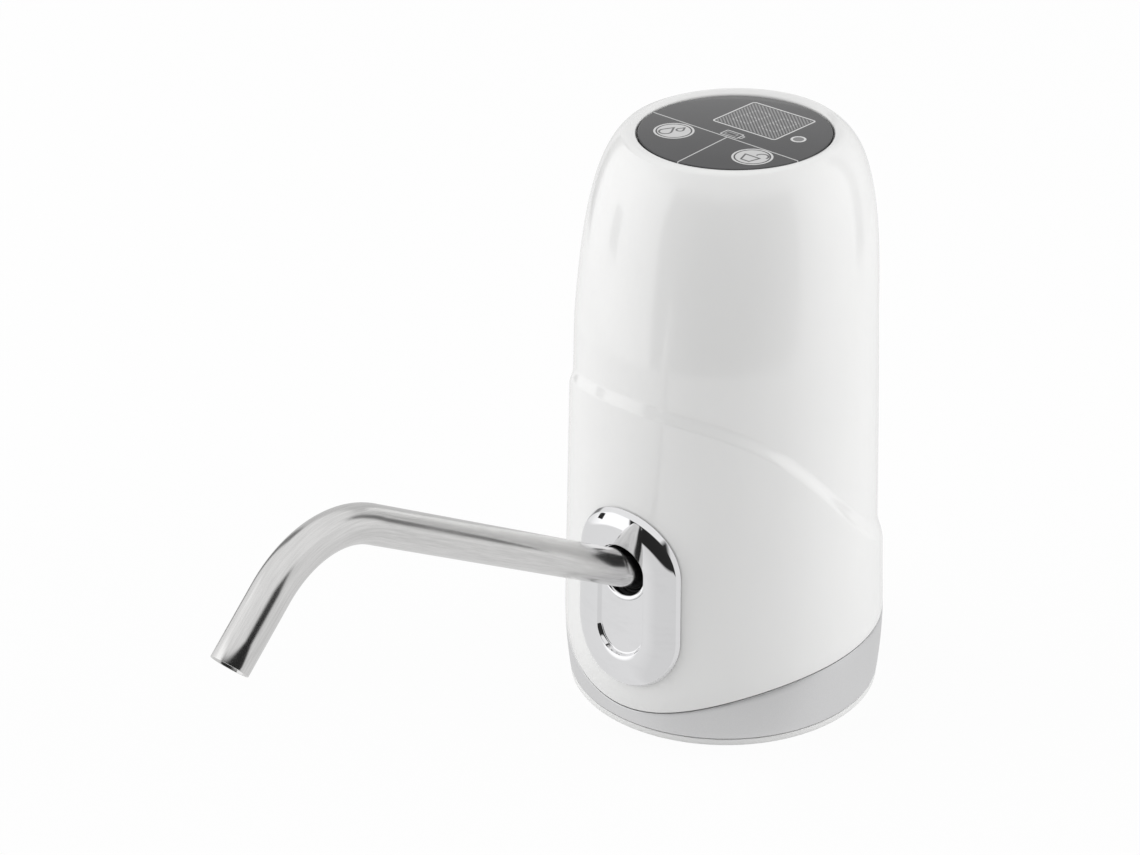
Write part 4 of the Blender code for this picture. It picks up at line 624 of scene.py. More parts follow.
@dataclass(frozen=True)
class PrintedPanel(Finish):
    """The smoked panel, printed with its display window, keys and lines.

    Places are in millimetres, across and up from the panel's middle. A rectangle is its middle and
    its two half sizes, a drop is its middle, radius and point, and a rule is its two ends.
    """

    relief: float = 0.000006
    relief_share: float = 0.4
    tone: Pair = (1.0, 1.12)
    haze_dull: float = 0.05
    ink_dull: float = 0.10
    ink: Colour = (0.70, 0.70, 0.70)
    inks: Inks = Inks()
    middle: Point = (0.00045, 0.0022, 0.0)
    turn_degrees: float = -2.8
    soft: float = 0.05
    line: float = 0.32
    window: Four = (0.45, 10.27, 9.55, 7.8)
    window_corner: float = 0.8
    window_line: float = 0.416
    window_margin: float = 0.5
    hatch_pitch: float = 0.75
    hatch_degrees: float = -41.0
    hatch_span: Pair = (-0.5, 0.5)
    digit_places: Pair = (-3.7, 4.5)
    digit_size: Pair = (2.3, 4.0)
    digit_corner: float = 0.5
    digit_line: float = 0.6
    digit_lean: float = 0.12
    rules: tuple[Four, ...] = ((-23.9, -2.9, 23.6, -3.8), (0.45, -3.35, 1.63, -23.0))
    cell: Four = (0.15, -1.25, 2.5, 1.4)
    core: Four = (-0.05, -1.25, 1.6, 0.65)
    nub: Four = (3.10, -1.25, 0.45, 0.7)
    cell_corner: float = 0.3
    core_corner: float = 0.1
    core_line: float = 0.256
    keys: tuple[tuple[float, float, KeyMark], ...] = ((-11.7, -8.6, KeyMark.DROPS), (12.7, -8.8, KeyMark.CUP))
    key_radius: float = 4.9
    key_line: float = 0.5
    disc_inset: float = 0.88
    mark_line: float = 0.48
    drops: tuple[Four, ...] = ((-1.3, -1.6, 1.5, 3.1), (0.7, 1.4, 0.85, 1.7))
    cup: tuple[Pair, ...] = ((-2.3, 0.3), (-1.2, -2.7), (1.2, -2.7), (2.0, 0.3), (-2.3, 0.3))
    cup_spout: tuple[float, float, float] = (1.7, 1.5, 1.5)
    cup_spout_from: float = 1.2
    lamp: tuple[float, float, float] = (14.0, 6.55, 1.6)
    lamp_line: float = 0.55
    haze: Pattern = Pattern(120.0, 4.0, 0.6, span=(0.4, 0.8))

    def edge(self, distance: Sock) -> Sock:
        """Gives 1 inside a shape and 0 outside it, from its distance."""
        return 1.0 - distance.between(-self.soft, self.soft)

    def stroke(self, distance: Sock, width: float) -> Sock:
        """Gives 1 on a shape's outline."""
        return self.edge(abs(distance) - 0.5 * width)

    def length(self, across: Sock, up: Sock) -> Sock:
        """Gives a point's distance from the middle."""
        return (across * across + up * up).math("SQRT")

    def block(self, across: Sock, up: Sock, half: Sequence[float], corner: float) -> Sock:
        """Gives the distance to a rounded rectangle.

        Args:
            across: the place across, from the rectangle's middle.
            up: the place up, from its middle.
            half: its half sizes.
            corner: its corners' radius.

        Returns:
            The distance, less than 0 inside.
        """
        side = abs(across) - (half[0] - corner)
        top = abs(up) - (half[1] - corner)
        return self.length(side.most(0.0), top.most(0.0)) + side.most(top).least(0.0) - corner

    def drop(self, across: Sock, up: Sock, radius: float, reach: float) -> Sock:
        """Gives the distance to a falling drop.

        Args:
            across: the place across, from the drop's middle.
            up: the place up, from its middle.
            radius: the round end's radius.
            reach: how far up its point lies.

        Returns:
            The distance, less than 0 inside.
        """
        lean = radius / reach
        rise = math.sqrt(1.0 - lean * lean)
        side = abs(across)
        upper = (up * rise - side * lean) > 0.0
        round_end = self.length(across, up) - radius
        flank = side * rise + up * lean - radius
        return round_end + upper * (flank - round_end)

    def stick(self, across: Sock, up: Sock, start: Sequence[float], end: Sequence[float]) -> Sock:
        """Gives the distance to a straight line.

        Args:
            across: the place across.
            up: the place up.
            start: the line's first end.
            end: its second end.

        Returns:
            The distance.
        """
        run = (end[0] - start[0], end[1] - start[1])
        size = run[0] ** 2 + run[1] ** 2
        side, rise = across - start[0], up - start[1]
        share = ((side * run[0] + rise * run[1]) / size).most(0.0).least(1.0)
        return self.length(side - share * run[0], rise - share * run[1])

    def mark_lines(self, across: Sock, up: Sock, mark: KeyMark) -> Sock:
        """Draws a key's mark: two drops, or a cup under a curved spout.

        Args:
            across: the place across, from the key's middle.
            up: the place up, from its middle.
            mark: what the key shows.

        Returns:
            1 on the mark's lines.
        """
        if mark is KeyMark.DROPS:
            return most_of([self.stroke(self.drop(across - x, up - y, radius, reach), self.mark_line)
                            for x, y, radius, reach in self.drops])
        sides = [self.edge(self.stick(across, up, start, end) - 0.5 * self.mark_line)
                 for start, end in zip(self.cup, self.cup[1:])]
        x, y, radius = self.cup_spout
        bend = self.stroke(self.length(across - x, up - y) - radius, self.mark_line)
        return most_of(sides + [bend * (up > self.cup_spout_from)])

    def key(self, across: Sock, up: Sock, mark: KeyMark) -> Sock:
        """Draws one touch key: a light disc in a ring, with its mark left dark.

        Args:
            across: the place across, from the key's middle.
            up: the place up, from its middle.
            mark: what the key shows.

        Returns:
            The key's ink.
        """
        out = self.length(across, up)
        ring = self.stroke(out - (self.key_radius - 0.5 * self.key_line), self.key_line)
        disc = self.edge(out - (self.key_radius - self.disc_inset))
        dark = self.inks.mark * self.mark_lines(across, up, mark)
        return (self.inks.ring * ring).most(self.inks.disc * disc * (1.0 - dark))

    def window_ink(self, across: Sock, up: Sock) -> Sock:
        """Draws the display window: its frame, its slanted hatching and two faint digits behind it.

        Args:
            across: the place across.
            up: the place up.

        Returns:
            The window's ink.
        """
        left, rise = across - self.window[0], up - self.window[1]
        window = self.block(left, rise, self.window[2:], self.window_corner)
        angle = math.radians(self.hatch_degrees)
        phase = (across * -math.sin(angle) + up * math.cos(angle)) * (FULL_TURN / self.hatch_pitch)
        hatch = phase.math("SINE").between(*self.hatch_span)
        half_line = 0.5 * self.digit_line
        bar = (self.digit_size[0] - half_line, half_line)
        digits = []
        for place in self.digit_places:
            lean = left - place - self.digit_lean * rise
            digit = self.block(lean, rise, self.digit_size, self.digit_corner)
            digits.append(self.stroke(digit, self.digit_line))
            digits.append(self.edge(self.block(left - place, rise, bar, self.core_corner)))
        hatched = hatch * (self.inks.hatch + self.inks.digit * most_of(digits))
        frame_line = self.inks.window * self.stroke(window, self.window_line)
        return frame_line.most(self.edge(window + self.window_margin) * hatched)

    def paint(self, sheet: MaterialSheet) -> None:
        """Adds the print, and the smoked gloss under it.

        Args:
            sheet: the material's tree.
        """
        spot = sheet.about_z(sheet.place(1.0 / MM, shift=self.middle), -self.turn_degrees)
        across, up = sheet.axis(spot, "X"), sheet.axis(spot, "Y")
        ink = self.window_ink(across, up)
        for rule in self.rules:
            distance = self.stick(across, up, rule[:2], rule[2:])
            ink = ink.most(self.inks.rule * self.edge(distance - 0.5 * self.line))
        cell, core, nub = (self.block(across - x, up - y, half, corner) for (x, y, *half), corner in
                           ((self.cell, self.cell_corner), (self.core, self.core_corner),
                            (self.nub, self.cell_corner)))
        ink = ink * (1.0 - self.edge(cell))
        lamp = self.length(across - self.lamp[0], up - self.lamp[1]) - self.lamp[2]
        ink = most_of([ink, self.inks.cell * self.stroke(cell, self.line),
                       self.inks.core * self.stroke(core, self.core_line),
                       self.inks.nub * self.stroke(nub, self.line),
                       self.inks.lamp * self.stroke(lamp, self.lamp_line),
                       self.inks.lamp_face * self.edge(lamp)])
        ink = most_of([ink] + [self.key(across - x, up - y, mark) for x, y, mark in self.keys])
        haze = self.haze.on(sheet)
        base = sheet.blend(ink, self.tones(sheet, haze, *self.tone), self.ink)
        self.lay(sheet, base, self.roughness + self.haze_dull * haze + self.ink_dull * ink, ink)


WHITE = Moulded("white_gloss_plastic", (0.80, 0.80, 0.795), 0.14, coat=0.5)
SILVER = SatinPaint("satin_silver_band", (0.78, 0.78, 0.785), 0.36, 1.0, 0.15)
CHROME = Plated("bright_chrome", (0.84, 0.84, 0.85), 0.035, 1.0)
# Chrome whose hole's wall is painted near black, as painted shade inside the mouth.
CHROME_MOUTH = PlatedMouth("bright_chrome_mouth", (0.84, 0.84, 0.85), 0.035, 1.0)
STEEL_TUBE = DrawnSteel("drawn_steel_tube", (0.75, 0.745, 0.74), 0.13, 1.0)
PANEL = PrintedPanel("printed_smoked_panel", (0.040, 0.040, 0.042), 0.12, coat=0.2)
SEAL_RUBBER = Elastic("seal_rubber", (0.022, 0.022, 0.023), 0.55)
GRIP_RUBBER = Elastic("grip_silicone", (0.62, 0.62, 0.60), 0.45, bloom=0.06)
NATURAL = Moulded("natural_plastic", (0.70, 0.69, 0.65), 0.38, cloud=0.06, grain_mm=0.4, marks=0.12)

SLOT_FINISHES: dict[str, Finish] = {
    "white_plastic": WHITE,
    "silver_plating": SILVER,
    "chrome": CHROME,
    "stainless_steel": Machined("turned_steel", (0.60, 0.60, 0.59), 0.26, 1.0),
    "smoked_panel": PANEL,
    "black_rubber": SEAL_RUBBER,
    "clear_silicone": GRIP_RUBBER,
    "natural_plastic": NATURAL,
    "dark_plastic": Moulded("dark_moulded_plastic", (0.035, 0.035, 0.038), 0.42, cloud=0.2, marks=0.15),
    "brass": Machined("sintered_bronze", (0.58, 0.42, 0.22), 0.42, 1.0, ring_mm=0.4),
    "copper": Layered("wound_copper", (0.66, 0.30, 0.14), 0.34, 1.0, pitch_mm=0.35),
    "silicon_steel": Layered("stacked_core_sheets", (0.34, 0.34, 0.35), 0.42, 1.0, pitch_mm=0.5),
    "ferrite": Elastic("pressed_ferrite", (0.055, 0.053, 0.052), 0.72),
    "circuit_board": Laminate("green_circuit_board", (0.02, 0.15, 0.06), 0.34),
    "cell_wrap": Moulded("cell_wrap_film", (0.05, 0.18, 0.44), 0.30, cloud=0.12, marks=0.12),
    "display_face": Moulded("display_glass", (0.05, 0.05, 0.052), 0.15, cloud=0.1),
    "lamp_lens": Moulded("lamp_lens", (0.70, 0.74, 0.78), 0.18, cloud=0.05),
    "red_lead": Moulded("red_lead_insulation", (0.50, 0.02, 0.02), 0.42, cloud=0.1, grain_mm=0.3),
}


# Mesh building


class Carve(Enum):
    """What a mesh's tools do to it."""

    CUT = "DIFFERENCE"
    JOIN = "UNION"


def spread(low: float, high: float, steps: int) -> list[float]:
    """Gives even steps from low to high, without low itself."""
    return [low + (high - low) * (index + 1) / steps for index in range(steps)]


def polar(turn: float, radius: float, z: float) -> Vector:
    """Gives a point at an angle from -Y towards +X, a distance out and a height."""
    return Vector((radius * math.sin(turn), -radius * math.cos(turn), z))


def turned(steps: int, ring_at: Callable[[float], list[Point]]) -> list[list[Point]]:
    """Gives the rings of a shape that goes once round, from its ring at each angle."""
    return [ring_at(FULL_TURN * index / steps) for index in range(steps)]


def softened(corners: Sequence[Corner], steps: int = 4, closed: bool = True) -> list[Pair]:
    """Rounds the corners of an outline.

    Args:
        corners: each corner's two coordinates and its rounding.
        steps: how many points round a corner, past its first.
        closed: whether the last corner joins the first.

    Returns:
        The rounded outline's points.
    """
    points: list[Pair] = []
    count = len(corners)
    for index, (x, y, rounding) in enumerate(corners):
        if rounding <= 0.0 or (not closed and index in (0, count - 1)):
            points.append((x, y))
            continue
        here = Vector((x, y))
        before, after = Vector(corners[index - 1][:2]), Vector(corners[(index + 1) % count][:2])
        first, second = before - here, after - here
        reach = min(rounding, CORNER_SHARE * first.length, CORNER_SHARE * second.length)
        first, second = here + first.normalized() * reach, here + second.normalized() * reach
        for step in range(steps + 1):
            t = step / steps
            spot = (1 - t) ** 2 * first + 2 * t * (1 - t) * here + t ** 2 * second
            points.append((spot.x, spot.y))
    return points


@contextmanager
def editing(mesh: bpy.types.Mesh) -> Iterator[bmesh.types.BMesh]:
    """Opens a mesh for editing and writes it back.

    Args:
        mesh: the mesh.

    Yields:
        The mesh's editable form.
    """
    bm = bmesh.new()
    bm.from_mesh(mesh)
    yield bm
    bm.to_mesh(mesh)
    bm.free()


def tidied(mesh: bpy.types.Mesh, merge: float = MERGE) -> bpy.types.Mesh:
    """Merges a mesh's doubles, drops what collapsed and turns its faces out.

    Args:
        mesh: the mesh.
        merge: how near two points are that become one.

    Returns:
        The same mesh.
    """
    with editing(mesh) as bm:
        bmesh.ops.remove_doubles(bm, verts=bm.verts, dist=merge)
        bmesh.ops.dissolve_degenerate(bm, edges=bm.edges, dist=merge)
        bmesh.ops.recalc_face_normals(bm, faces=bm.faces)
    return mesh


def skin(name: str, rings: Sequence[Sequence[Point]], closed: bool, caps: bool = False) -> bpy.types.Mesh:
    """Joins rings of points with quads.

    Args:
        name: the mesh's name.
        rings: rings with the same number of points each.
        closed: whether the last ring joins the first.
        caps: whether the first and last rings are filled.

    Returns:
        The mesh, with doubles merged and its faces pointing out.
    """
    size = len(rings[0])
    points = [tuple(point) for ring in rings for point in ring]
    pairs = [(row, row + 1) for row in range(len(rings) - 1)]
    if closed:
        pairs.append((len(rings) - 1, 0))
    faces: list[tuple[int, ...]] = []
    for near, far in pairs:
        for index in range(size):
            after = (index + 1) % size
            faces.append((near * size + index, near * size + after, far * size + after, far * size + index))
    if caps:
        faces.append(tuple(range(size)))
        faces.append(tuple(range((len(rings) - 1) * size, len(rings) * size)))
    mesh = bpy.data.meshes.new(name)
    mesh.from_pydata(points, [], faces)
    return tidied(mesh)


def lathe(name: str, profile: Sequence[Pair], steps: int, place: Matrix) -> bpy.types.Mesh:
    """Turns a closed profile of (radius, height) points about a local axis."""
    rings = turned(steps, lambda turn: [place @ polar(turn, radius, z) for radius, z in profile])
    return skin(name, rings, closed=True)


def rod(name: str, radius: float, ends: Pair, steps: int, place: Matrix) -> bpy.types.Mesh:
    """Gives a plain rod about a local axis, between two heights."""
    low, high = ends
    return lathe(name, ((0.0, low), (radius, low), (radius, high), (0.0, high)), steps, place)


def drop(x: float = 0.0, y: float = 0.0, z: float = 0.0) -> Matrix:
    """Gives a place in the model's frame from one that is measured from the foot."""
    return Matrix.Translation((x, y, z - FOOT_DROP))


def loose(mesh: bpy.types.Mesh) -> bpy.types.Object:
    """Links a mesh's object to the scene.

    Args:
        mesh: the mesh.

    Returns:
        Its object.
    """
    thing = bpy.data.objects.new(mesh.name, mesh)
    bpy.context.scene.collection.objects.link(thing)
    return thing


def baked(holder: bpy.types.Object) -> bpy.types.Mesh:
    """Gives an object's mesh with its modifiers applied, and removes the object.

    Args:
        holder: the object.

    Returns:
        The plain mesh.
    """
    bpy.context.view_layer.update()
    depsgraph = bpy.context.evaluated_depsgraph_get()
    mesh = bpy.data.meshes.new_from_object(holder.evaluated_get(depsgraph))
    bpy.data.objects.remove(holder, do_unlink=True)
    return mesh


def carved(target: bpy.types.Mesh, tools: Sequence[bpy.types.Mesh],
           carve: Carve = Carve.CUT) -> bpy.types.Mesh:
    """Cuts tools from a mesh, or joins them to it, exactly.

    Args:
        target: the mesh to change.
        tools: closed meshes.
        carve: what the tools do.

    Returns:
        The result, as a new mesh with the target's name.
    """
    holder = loose(target)
    cutters = [loose(tool) for tool in tools]
    for cutter in cutters:
        modifier = holder.modifiers.new("Carve", "BOOLEAN")
        modifier.operation = carve.value
        modifier.object = cutter
        modifier.solver = "EXACT"
    mesh = baked(holder)
    for cutter in cutters:
        bpy.data.objects.remove(cutter, do_unlink=True)
    return tidied(mesh, MERGE_CUT)


def add_piece(name: str, mesh: bpy.types.Mesh, finish: Finish, body: str,
              stands_for: Sequence[str], sharp_degrees: float = 32.0) -> None:
    """Adds a finished piece to the model.

    Args:
        name: the piece's name.
        mesh: its mesh, in the model's frame.
        finish: its finish.
        body: the body that it rides on.
        stands_for: the CAD nodes that it replaces.
        sharp_degrees: edges steeper than this stay sharp.
    """
    mesh.name = name
    mesh.materials.clear()
    mesh.materials.append(stock(finish))
    mesh.shade_smooth()
    mesh.set_sharp_from_angle(angle=math.radians(sharp_degrees))
    thing = loose(mesh)
    thing.name = name
    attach(thing, body)
    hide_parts(*stands_for)
    log.info("%s: %d faces on %s", name, len(mesh.polygons), body)


# The body's outline


@dataclass(frozen=True)
class BodyForm:
    """The outline that shell, band, panel and escutcheon share."""

    lower_radius_low: float = 0.0404
    lower_start: float = 0.019
    lower_draft: float = 0.0317
    foot_tuck: float = 0.0013
    sweep_step: float = 0.0020
    upper_start: float = 0.040
    upper_draft: float = 0.020
    crown_start: float = 0.0359
    crown_height: float = 0.1141
    crown_power: float = 5.73
    crown_z: float = 0.110
    rim: float = 0.1469
    rim_dip: float = 0.0011
    crown_setback: float = 0.0028
    setback_start: float = 0.100
    relief_low: float = 0.042
    relief_rise: float = 0.050
    relief_turn: float = 81.0
    relief_spread: float = 17.5
    relief_front_drop: float = 0.0036
    relief_back_drop: float = 0.0080
    front_turn: float = 2.3
    band_low: float = 0.006
    band_rise: float = 0.0135
    band_spread: float = 0.36
    band_wall: float = 0.0013
    skirt: float = 0.0021
    wall: float = 0.0022
    inner_lift: float = 0.1
    panel_radius: float = 0.02315
    panel_seat: float = 0.1435
    ledge_bottom: float = 0.1415

    def lower(self, z: float) -> float:
        """Gives the radius below the sweep.

        Args:
            z: the height.

        Returns:
            The radius there.
        """
        if z >= self.lower_start:
            return self.lower_radius_low - self.lower_draft * (z - self.lower_start)
        return self.lower_radius_low - self.foot_tuck * ((self.lower_start - z) / self.lower_start) ** 2

    def upper(self, z: float) -> float:
        """Gives the radius above the sweep.

        Args:
            z: the height.

        Returns:
            The radius there.
        """
        cone = self.lower_radius_low - self.sweep_step - self.upper_draft * (z - self.upper_start)
        rise = max(z - self.crown_start, 0.0) / self.crown_height
        return cone * (1.0 - rise ** self.crown_power) ** (1.0 / self.crown_power)

    def from_front(self, turn: float) -> float:
        """Turns an angle from the spout into one from the shell's own front, a little to its side."""
        turned_by = (turn + math.radians(self.front_turn)) % FULL_TURN
        return min(turned_by, FULL_TURN - turned_by)

    def sweep(self, turn: float) -> Pair:
        """Gives the heights where the raised sweep ends and starts.

        Args:
            turn: the angle from the spout.

        Returns:
            The lower and the upper height.
        """
        turn = self.from_front(turn)
        past = (math.degrees(turn) - self.relief_turn) / self.relief_spread
        top = self.relief_low + self.relief_rise / (1.0 + math.exp(past))
        share = 0.5 * (1.0 - math.cos(turn))
        return top - self.relief_front_drop - (self.relief_back_drop - self.relief_front_drop) * share, top

    def joint(self, turn: float) -> float:
        """Gives the silver band's upper edge at an angle."""
        share = math.exp((math.cos(self.from_front(turn)) - 1.0) / self.band_spread)
        return self.band_low + self.band_rise * (1.0 - share)

    def outer(self, turn: float, z: float) -> float:
        """Gives the shell's outer radius.

        Args:
            turn: the angle from the spout.
            z: the height.

        Returns:
            The radius there.
        """
        low, high = self.sweep(turn)
        t = min(max((high - z) / (high - low), 0.0), 1.0)
        share = t * t * (3.0 - 2.0 * t)
        return self.upper(z) + share * (self.lower(z) - self.upper(z))

    def inner(self, z: float) -> float:
        """Gives the shell's inner radius."""
        return self.upper(z + self.inner_lift * max(z - self.crown_z, 0.0)) - self.wall

    def dip(self, turn: float) -> float:
        """Gives how much lower the rim lies at an angle: most above the spout, nothing at the back."""
        return self.rim_dip * 0.5 * (1.0 + math.cos(turn))

    def setback(self, z: float) -> float:
        """Gives how far back the crown sits."""
        share = (z - self.setback_start) / (self.ledge_bottom - self.setback_start)
        return self.crown_setback * min(max(share, 0.0), 1.0)

    def spot(self, turn: float, radius: float, z: float) -> Point:
        """Gives a point in the model's frame."""
        return (radius * math.sin(turn), self.setback(z) - radius * math.cos(turn), z - FOOT_DROP)

    def edge(self, end: float, rounding: float, degrees: Sequence[float]) -> list[Pair]:
        """Rounds an edge of the lower wall.

        Args:
            end: the height where the wall ends.
            rounding: the edge's radius, less than 0 where the wall goes down from its end.
            degrees: the places on the edge, from 0 on the wall to 90 at its end.

        Returns:
            The edge's points, each a radius and a height.
        """
        points = []
        for angle in map(math.radians, degrees):
            z = end + rounding * (1.0 - math.sin(angle))
            points.append((self.lower(z) - abs(rounding) * (1.0 - math.cos(angle)), z))
        return points


@dataclass
class SpoutLine:
    """The line that the spout comes out along."""

    form: BodyForm
    root: float = 0.0456
    rise_degrees: float = 30.1

    def place(self) -> Matrix:
        """Gives the line's start and its heading, out along local +Z."""
        start = drop(0.0, -self.form.lower(self.root), self.root)
        return start @ Matrix.Rotation(math.radians(90.0 - self.rise_degrees), 4, "X")

    def reach(self, angle: float, radius: float, height: float) -> float:
        """Gives how far out along the line a height over the body lies.

        Args:
            angle: the place round the line, from straight below it.
            radius: the distance from the line.
            height: the height over the body's surface.

        Returns:
            The distance from the line's start.
        """
        rise = math.radians(self.rise_degrees)
        across, above = radius * math.sin(angle), -radius * math.cos(angle)
        face = self.form.lower(self.root + above / math.cos(rise)) + height
        ahead = math.sqrt(face * face - across * across) - self.form.lower(self.root)
        return (ahead + above * math.sin(rise)) / math.cos(rise)


# Sub-assemblies


@dataclass
class Housing:
    """The white shell, the silver band, the foot and the soft sleeve in the bottle socket."""

    form: BodyForm
    line: SpoutLine
    steps: int = 192
    rim_radius: float = 0.0253
    rim_top: float = 0.1474
    rim_foot: float = 0.1463
    rim_foot_dip: float = 0.2
    rim_draft: float = 0.0002
    ledge_width: float = 0.0027
    ledge_root: float = 0.0272
    ceiling_drop: float = 0.003
    ceiling_shares: tuple[float, ...] = (0.0, 0.1, 0.25, 0.5, 1.0)
    ceiling_power: float = 1.5
    side_steps: tuple[int, int, int] = (14, 16, 16)
    crown_steps: int = 30
    inner_steps: int = 6
    rim_steps: int = 6
    edge_round: float = 0.00025
    edge_degrees: Four = (90.0, 60.0, 30.0, 0.0)
    band_steps: int = 8
    collar_hole: float = 0.0067
    collar_hole_ends: Pair = (-0.013, 0.009)
    collar_hole_sides: int = 64
    slot_z: float = 0.038
    slot_width: float = 0.0096
    slot_height: float = 0.0038
    slot_ends: Pair = (0.022, 0.046)
    slot_round_share: float = 0.8
    slot_steps: int = 6
    foot_thickness: float = 0.0018
    foot_gap: float = 0.0001
    foot_bead: float = 0.0032
    foot_relief: float = 0.0004
    foot_round: float = 0.0007
    foot_sides: int = 144
    socket_radius: float = 0.0285
    socket_depth: float = 0.020
    socket_wall: float = 0.0020
    socket_roof: float = 0.0020
    socket_lip: float = 0.0030
    rim_height: float = 0.0045
    rim_wall: float = 0.0016
    pillar_radius: float = 0.0032
    pillar_root: float = 0.021
    pillar_sides: int = 24
    pillars: tuple[Pair, ...] = ((-0.0235, -0.0120), (0.0170, -0.0200), (-0.0232, 0.0135))
    pilot_radius: float = 0.00125
    pilot_ends: Pair = (0.061, 0.074)
    pilot_sides: int = 16
    deck_z: float = 0.070
    nipple_hole: float = 0.0048
    nipple_hole_ends: Pair = (0.016, 0.026)
    nipple_hole_sides: int = 32
    grip_wall: float = 0.0009
    grip_start: float = 0.0012
    grip_height: float = 0.0135
    grip_lip: float = 0.0004
    fin_count: int = 72
    fin_radius: float = 0.00045
    fin_margin: float = 0.0008

    def section(self, turn: float) -> list[Pair]:
        """Gives the shell's wall at one angle.

        Args:
            turn: the angle from the spout.

        Returns:
            A closed loop of (radius, height) points.
        """
        form = self.form
        joint = form.joint(turn) + SEAT
        lap = form.band_wall + SEAT
        low, high = form.sweep(turn)
        dip = form.dip(turn)
        rim, crown = form.rim - dip, form.crown_z
        loop = [(form.lower(form.skirt) - lap, form.skirt), (form.lower(joint) - lap, joint)]
        loop += form.edge(joint, self.edge_round, self.edge_degrees)
        stops = (joint + self.edge_round, low, high, crown)
        heights = [z for pair in zip(stops, stops[1:], self.side_steps) for z in spread(*pair)]
        heights += [rim - (rim - crown) * (1.0 - share) ** 2 for share in spread(0.0, 1.0, self.crown_steps)]
        loop += [(form.outer(turn, z), z) for z in heights]
        recess = form.panel_radius + SEAT
        loop += softened(((form.outer(turn, rim), rim, 0.0), (self.rim_radius, self.rim_top - dip, BROAD),
                          (recess + self.rim_draft, self.rim_foot - self.rim_foot_dip * dip, SOFT),
                          (recess, form.panel_seat, 0.0)), self.rim_steps, closed=False)[1:]
        ledge = recess - self.ledge_width
        loop += [(ledge, form.panel_seat), (ledge, form.ledge_bottom), (self.ledge_root, form.ledge_bottom)]
        ceiling = form.ledge_bottom - self.ceiling_drop
        heights = [ceiling + (crown - ceiling) * share ** self.ceiling_power for share in self.ceiling_shares]
        loop += [(form.inner(z), z) for z in heights + spread(crown, form.skirt, self.inner_steps)]
        return loop

    def band_section(self, turn: float) -> list[Pair]:
        """Gives the silver band's wall at one angle, with a softened upper and lower edge.

        Args:
            turn: the angle from the spout.

        Returns:
            A closed loop of (radius, height) points.
        """
        form, edge = self.form, self.edge_round
        low, top = form.skirt, form.joint(turn)
        loop = [(form.lower(low) - form.band_wall, low)] + form.edge(low, edge, self.edge_degrees)
        loop += [(form.lower(z), z) for z in spread(low + edge, top - edge, self.band_steps)]
        loop += form.edge(top, -edge, self.edge_degrees[2::-1])
        return loop + [(form.lower(top) - form.band_wall, top)]

    def wrapped(self, name: str, section: Callable[[float], list[Pair]]) -> bpy.types.Mesh:
        """Skins a wall that goes once round the body, from its loop at each angle."""
        rings = turned(self.steps, lambda turn: [self.form.spot(turn, *point) for point in section(turn)])
        return skin(name, rings, closed=True)

    def build_shell(self) -> None:
        """Makes the white shell, with the spout's hole and the charging slot."""
        mesh = self.wrapped("housing_shell_fine", self.section)
        hole = rod("hole", self.collar_hole, self.collar_hole_ends, self.collar_hole_sides, self.line.place())
        mesh = carved(mesh, (hole, self.slot_tool()))
        add_piece("white_shell", mesh, WHITE, "housing", ("housing_shell",))

    def slot_tool(self) -> bpy.types.Mesh:
        """Makes the charging slot's cutter.

        Returns:
            A rounded bar that runs in from the back.
        """
        half, tall = 0.5 * self.slot_width, 0.5 * self.slot_height
        rounding = self.slot_round_share * tall
        outline = softened([(x, z, rounding) for x, z in ((-half, -tall), (half, -tall), (half, tall),
                                                          (-half, tall))], self.slot_steps)
        rings = [[(x, y, self.slot_z + z - FOOT_DROP) for x, z in outline] for y in self.slot_ends]
        return skin("slot", rings, closed=False, caps=True)

    def build_band(self) -> None:
        """Makes the silver band."""
        mesh = self.wrapped("silver_band", self.band_section)
        add_piece("silver_band", mesh, SILVER, "housing", ("base_ring",))

    def foot_section(self) -> list[Pair]:
        """Gives the foot's wall, with its socket and locating rim.

        Returns:
            A closed loop of (radius, height) points.
        """
        thick, socket, relief = self.foot_thickness, self.socket_radius, self.foot_relief
        outer = self.form.lower(thick) - self.foot_gap
        rim, rim_top = self.form.inner(self.form.skirt) - SEAT, thick + self.rim_height
        wall, top = socket + self.socket_wall, self.socket_depth + self.socket_roof
        lip, bead, rim_inside = socket + self.socket_lip, outer - self.foot_bead, rim - self.rim_wall
        return softened((
            (0.0, self.socket_depth, 0.0), (socket, self.socket_depth, BROAD), (socket, 0.0, ROUND),
            (lip, 0.0, CRISP), (lip, relief, CRISP), (bead, relief, CRISP), (bead, 0.0, CRISP),
            (outer, 0.0, self.foot_round), (outer, thick, CRISP), (rim, thick, 0.0), (rim, rim_top, EASED),
            (rim_inside, rim_top, EASED), (rim_inside, thick, SOFT), (wall, thick, SOFT),
            (wall, top, ROUND), (0.0, top, 0.0)))

    def build_foot(self) -> None:
        """Makes the foot, with the deck's three pillars and the inlet's hole."""
        mesh = lathe("foot", self.foot_section(), self.foot_sides, drop())
        ends = (self.pillar_root, self.deck_z - SEAT)
        pillars = [rod("pillar", self.pillar_radius, ends, self.pillar_sides, drop(x, y))
                   for x, y in self.pillars]
        holes = [rod("pilot", self.pilot_radius, self.pilot_ends, self.pilot_sides, drop(x, y))
                 for x, y in self.pillars]
        holes.append(rod("nipple_hole", self.nipple_hole, self.nipple_hole_ends, self.nipple_hole_sides,
                         drop(*INLET_PLACE)))
        mesh = carved(carved(mesh, pillars, Carve.JOIN), holes)
        add_piece("white_foot", mesh, WHITE, "housing", ("foot_base",))

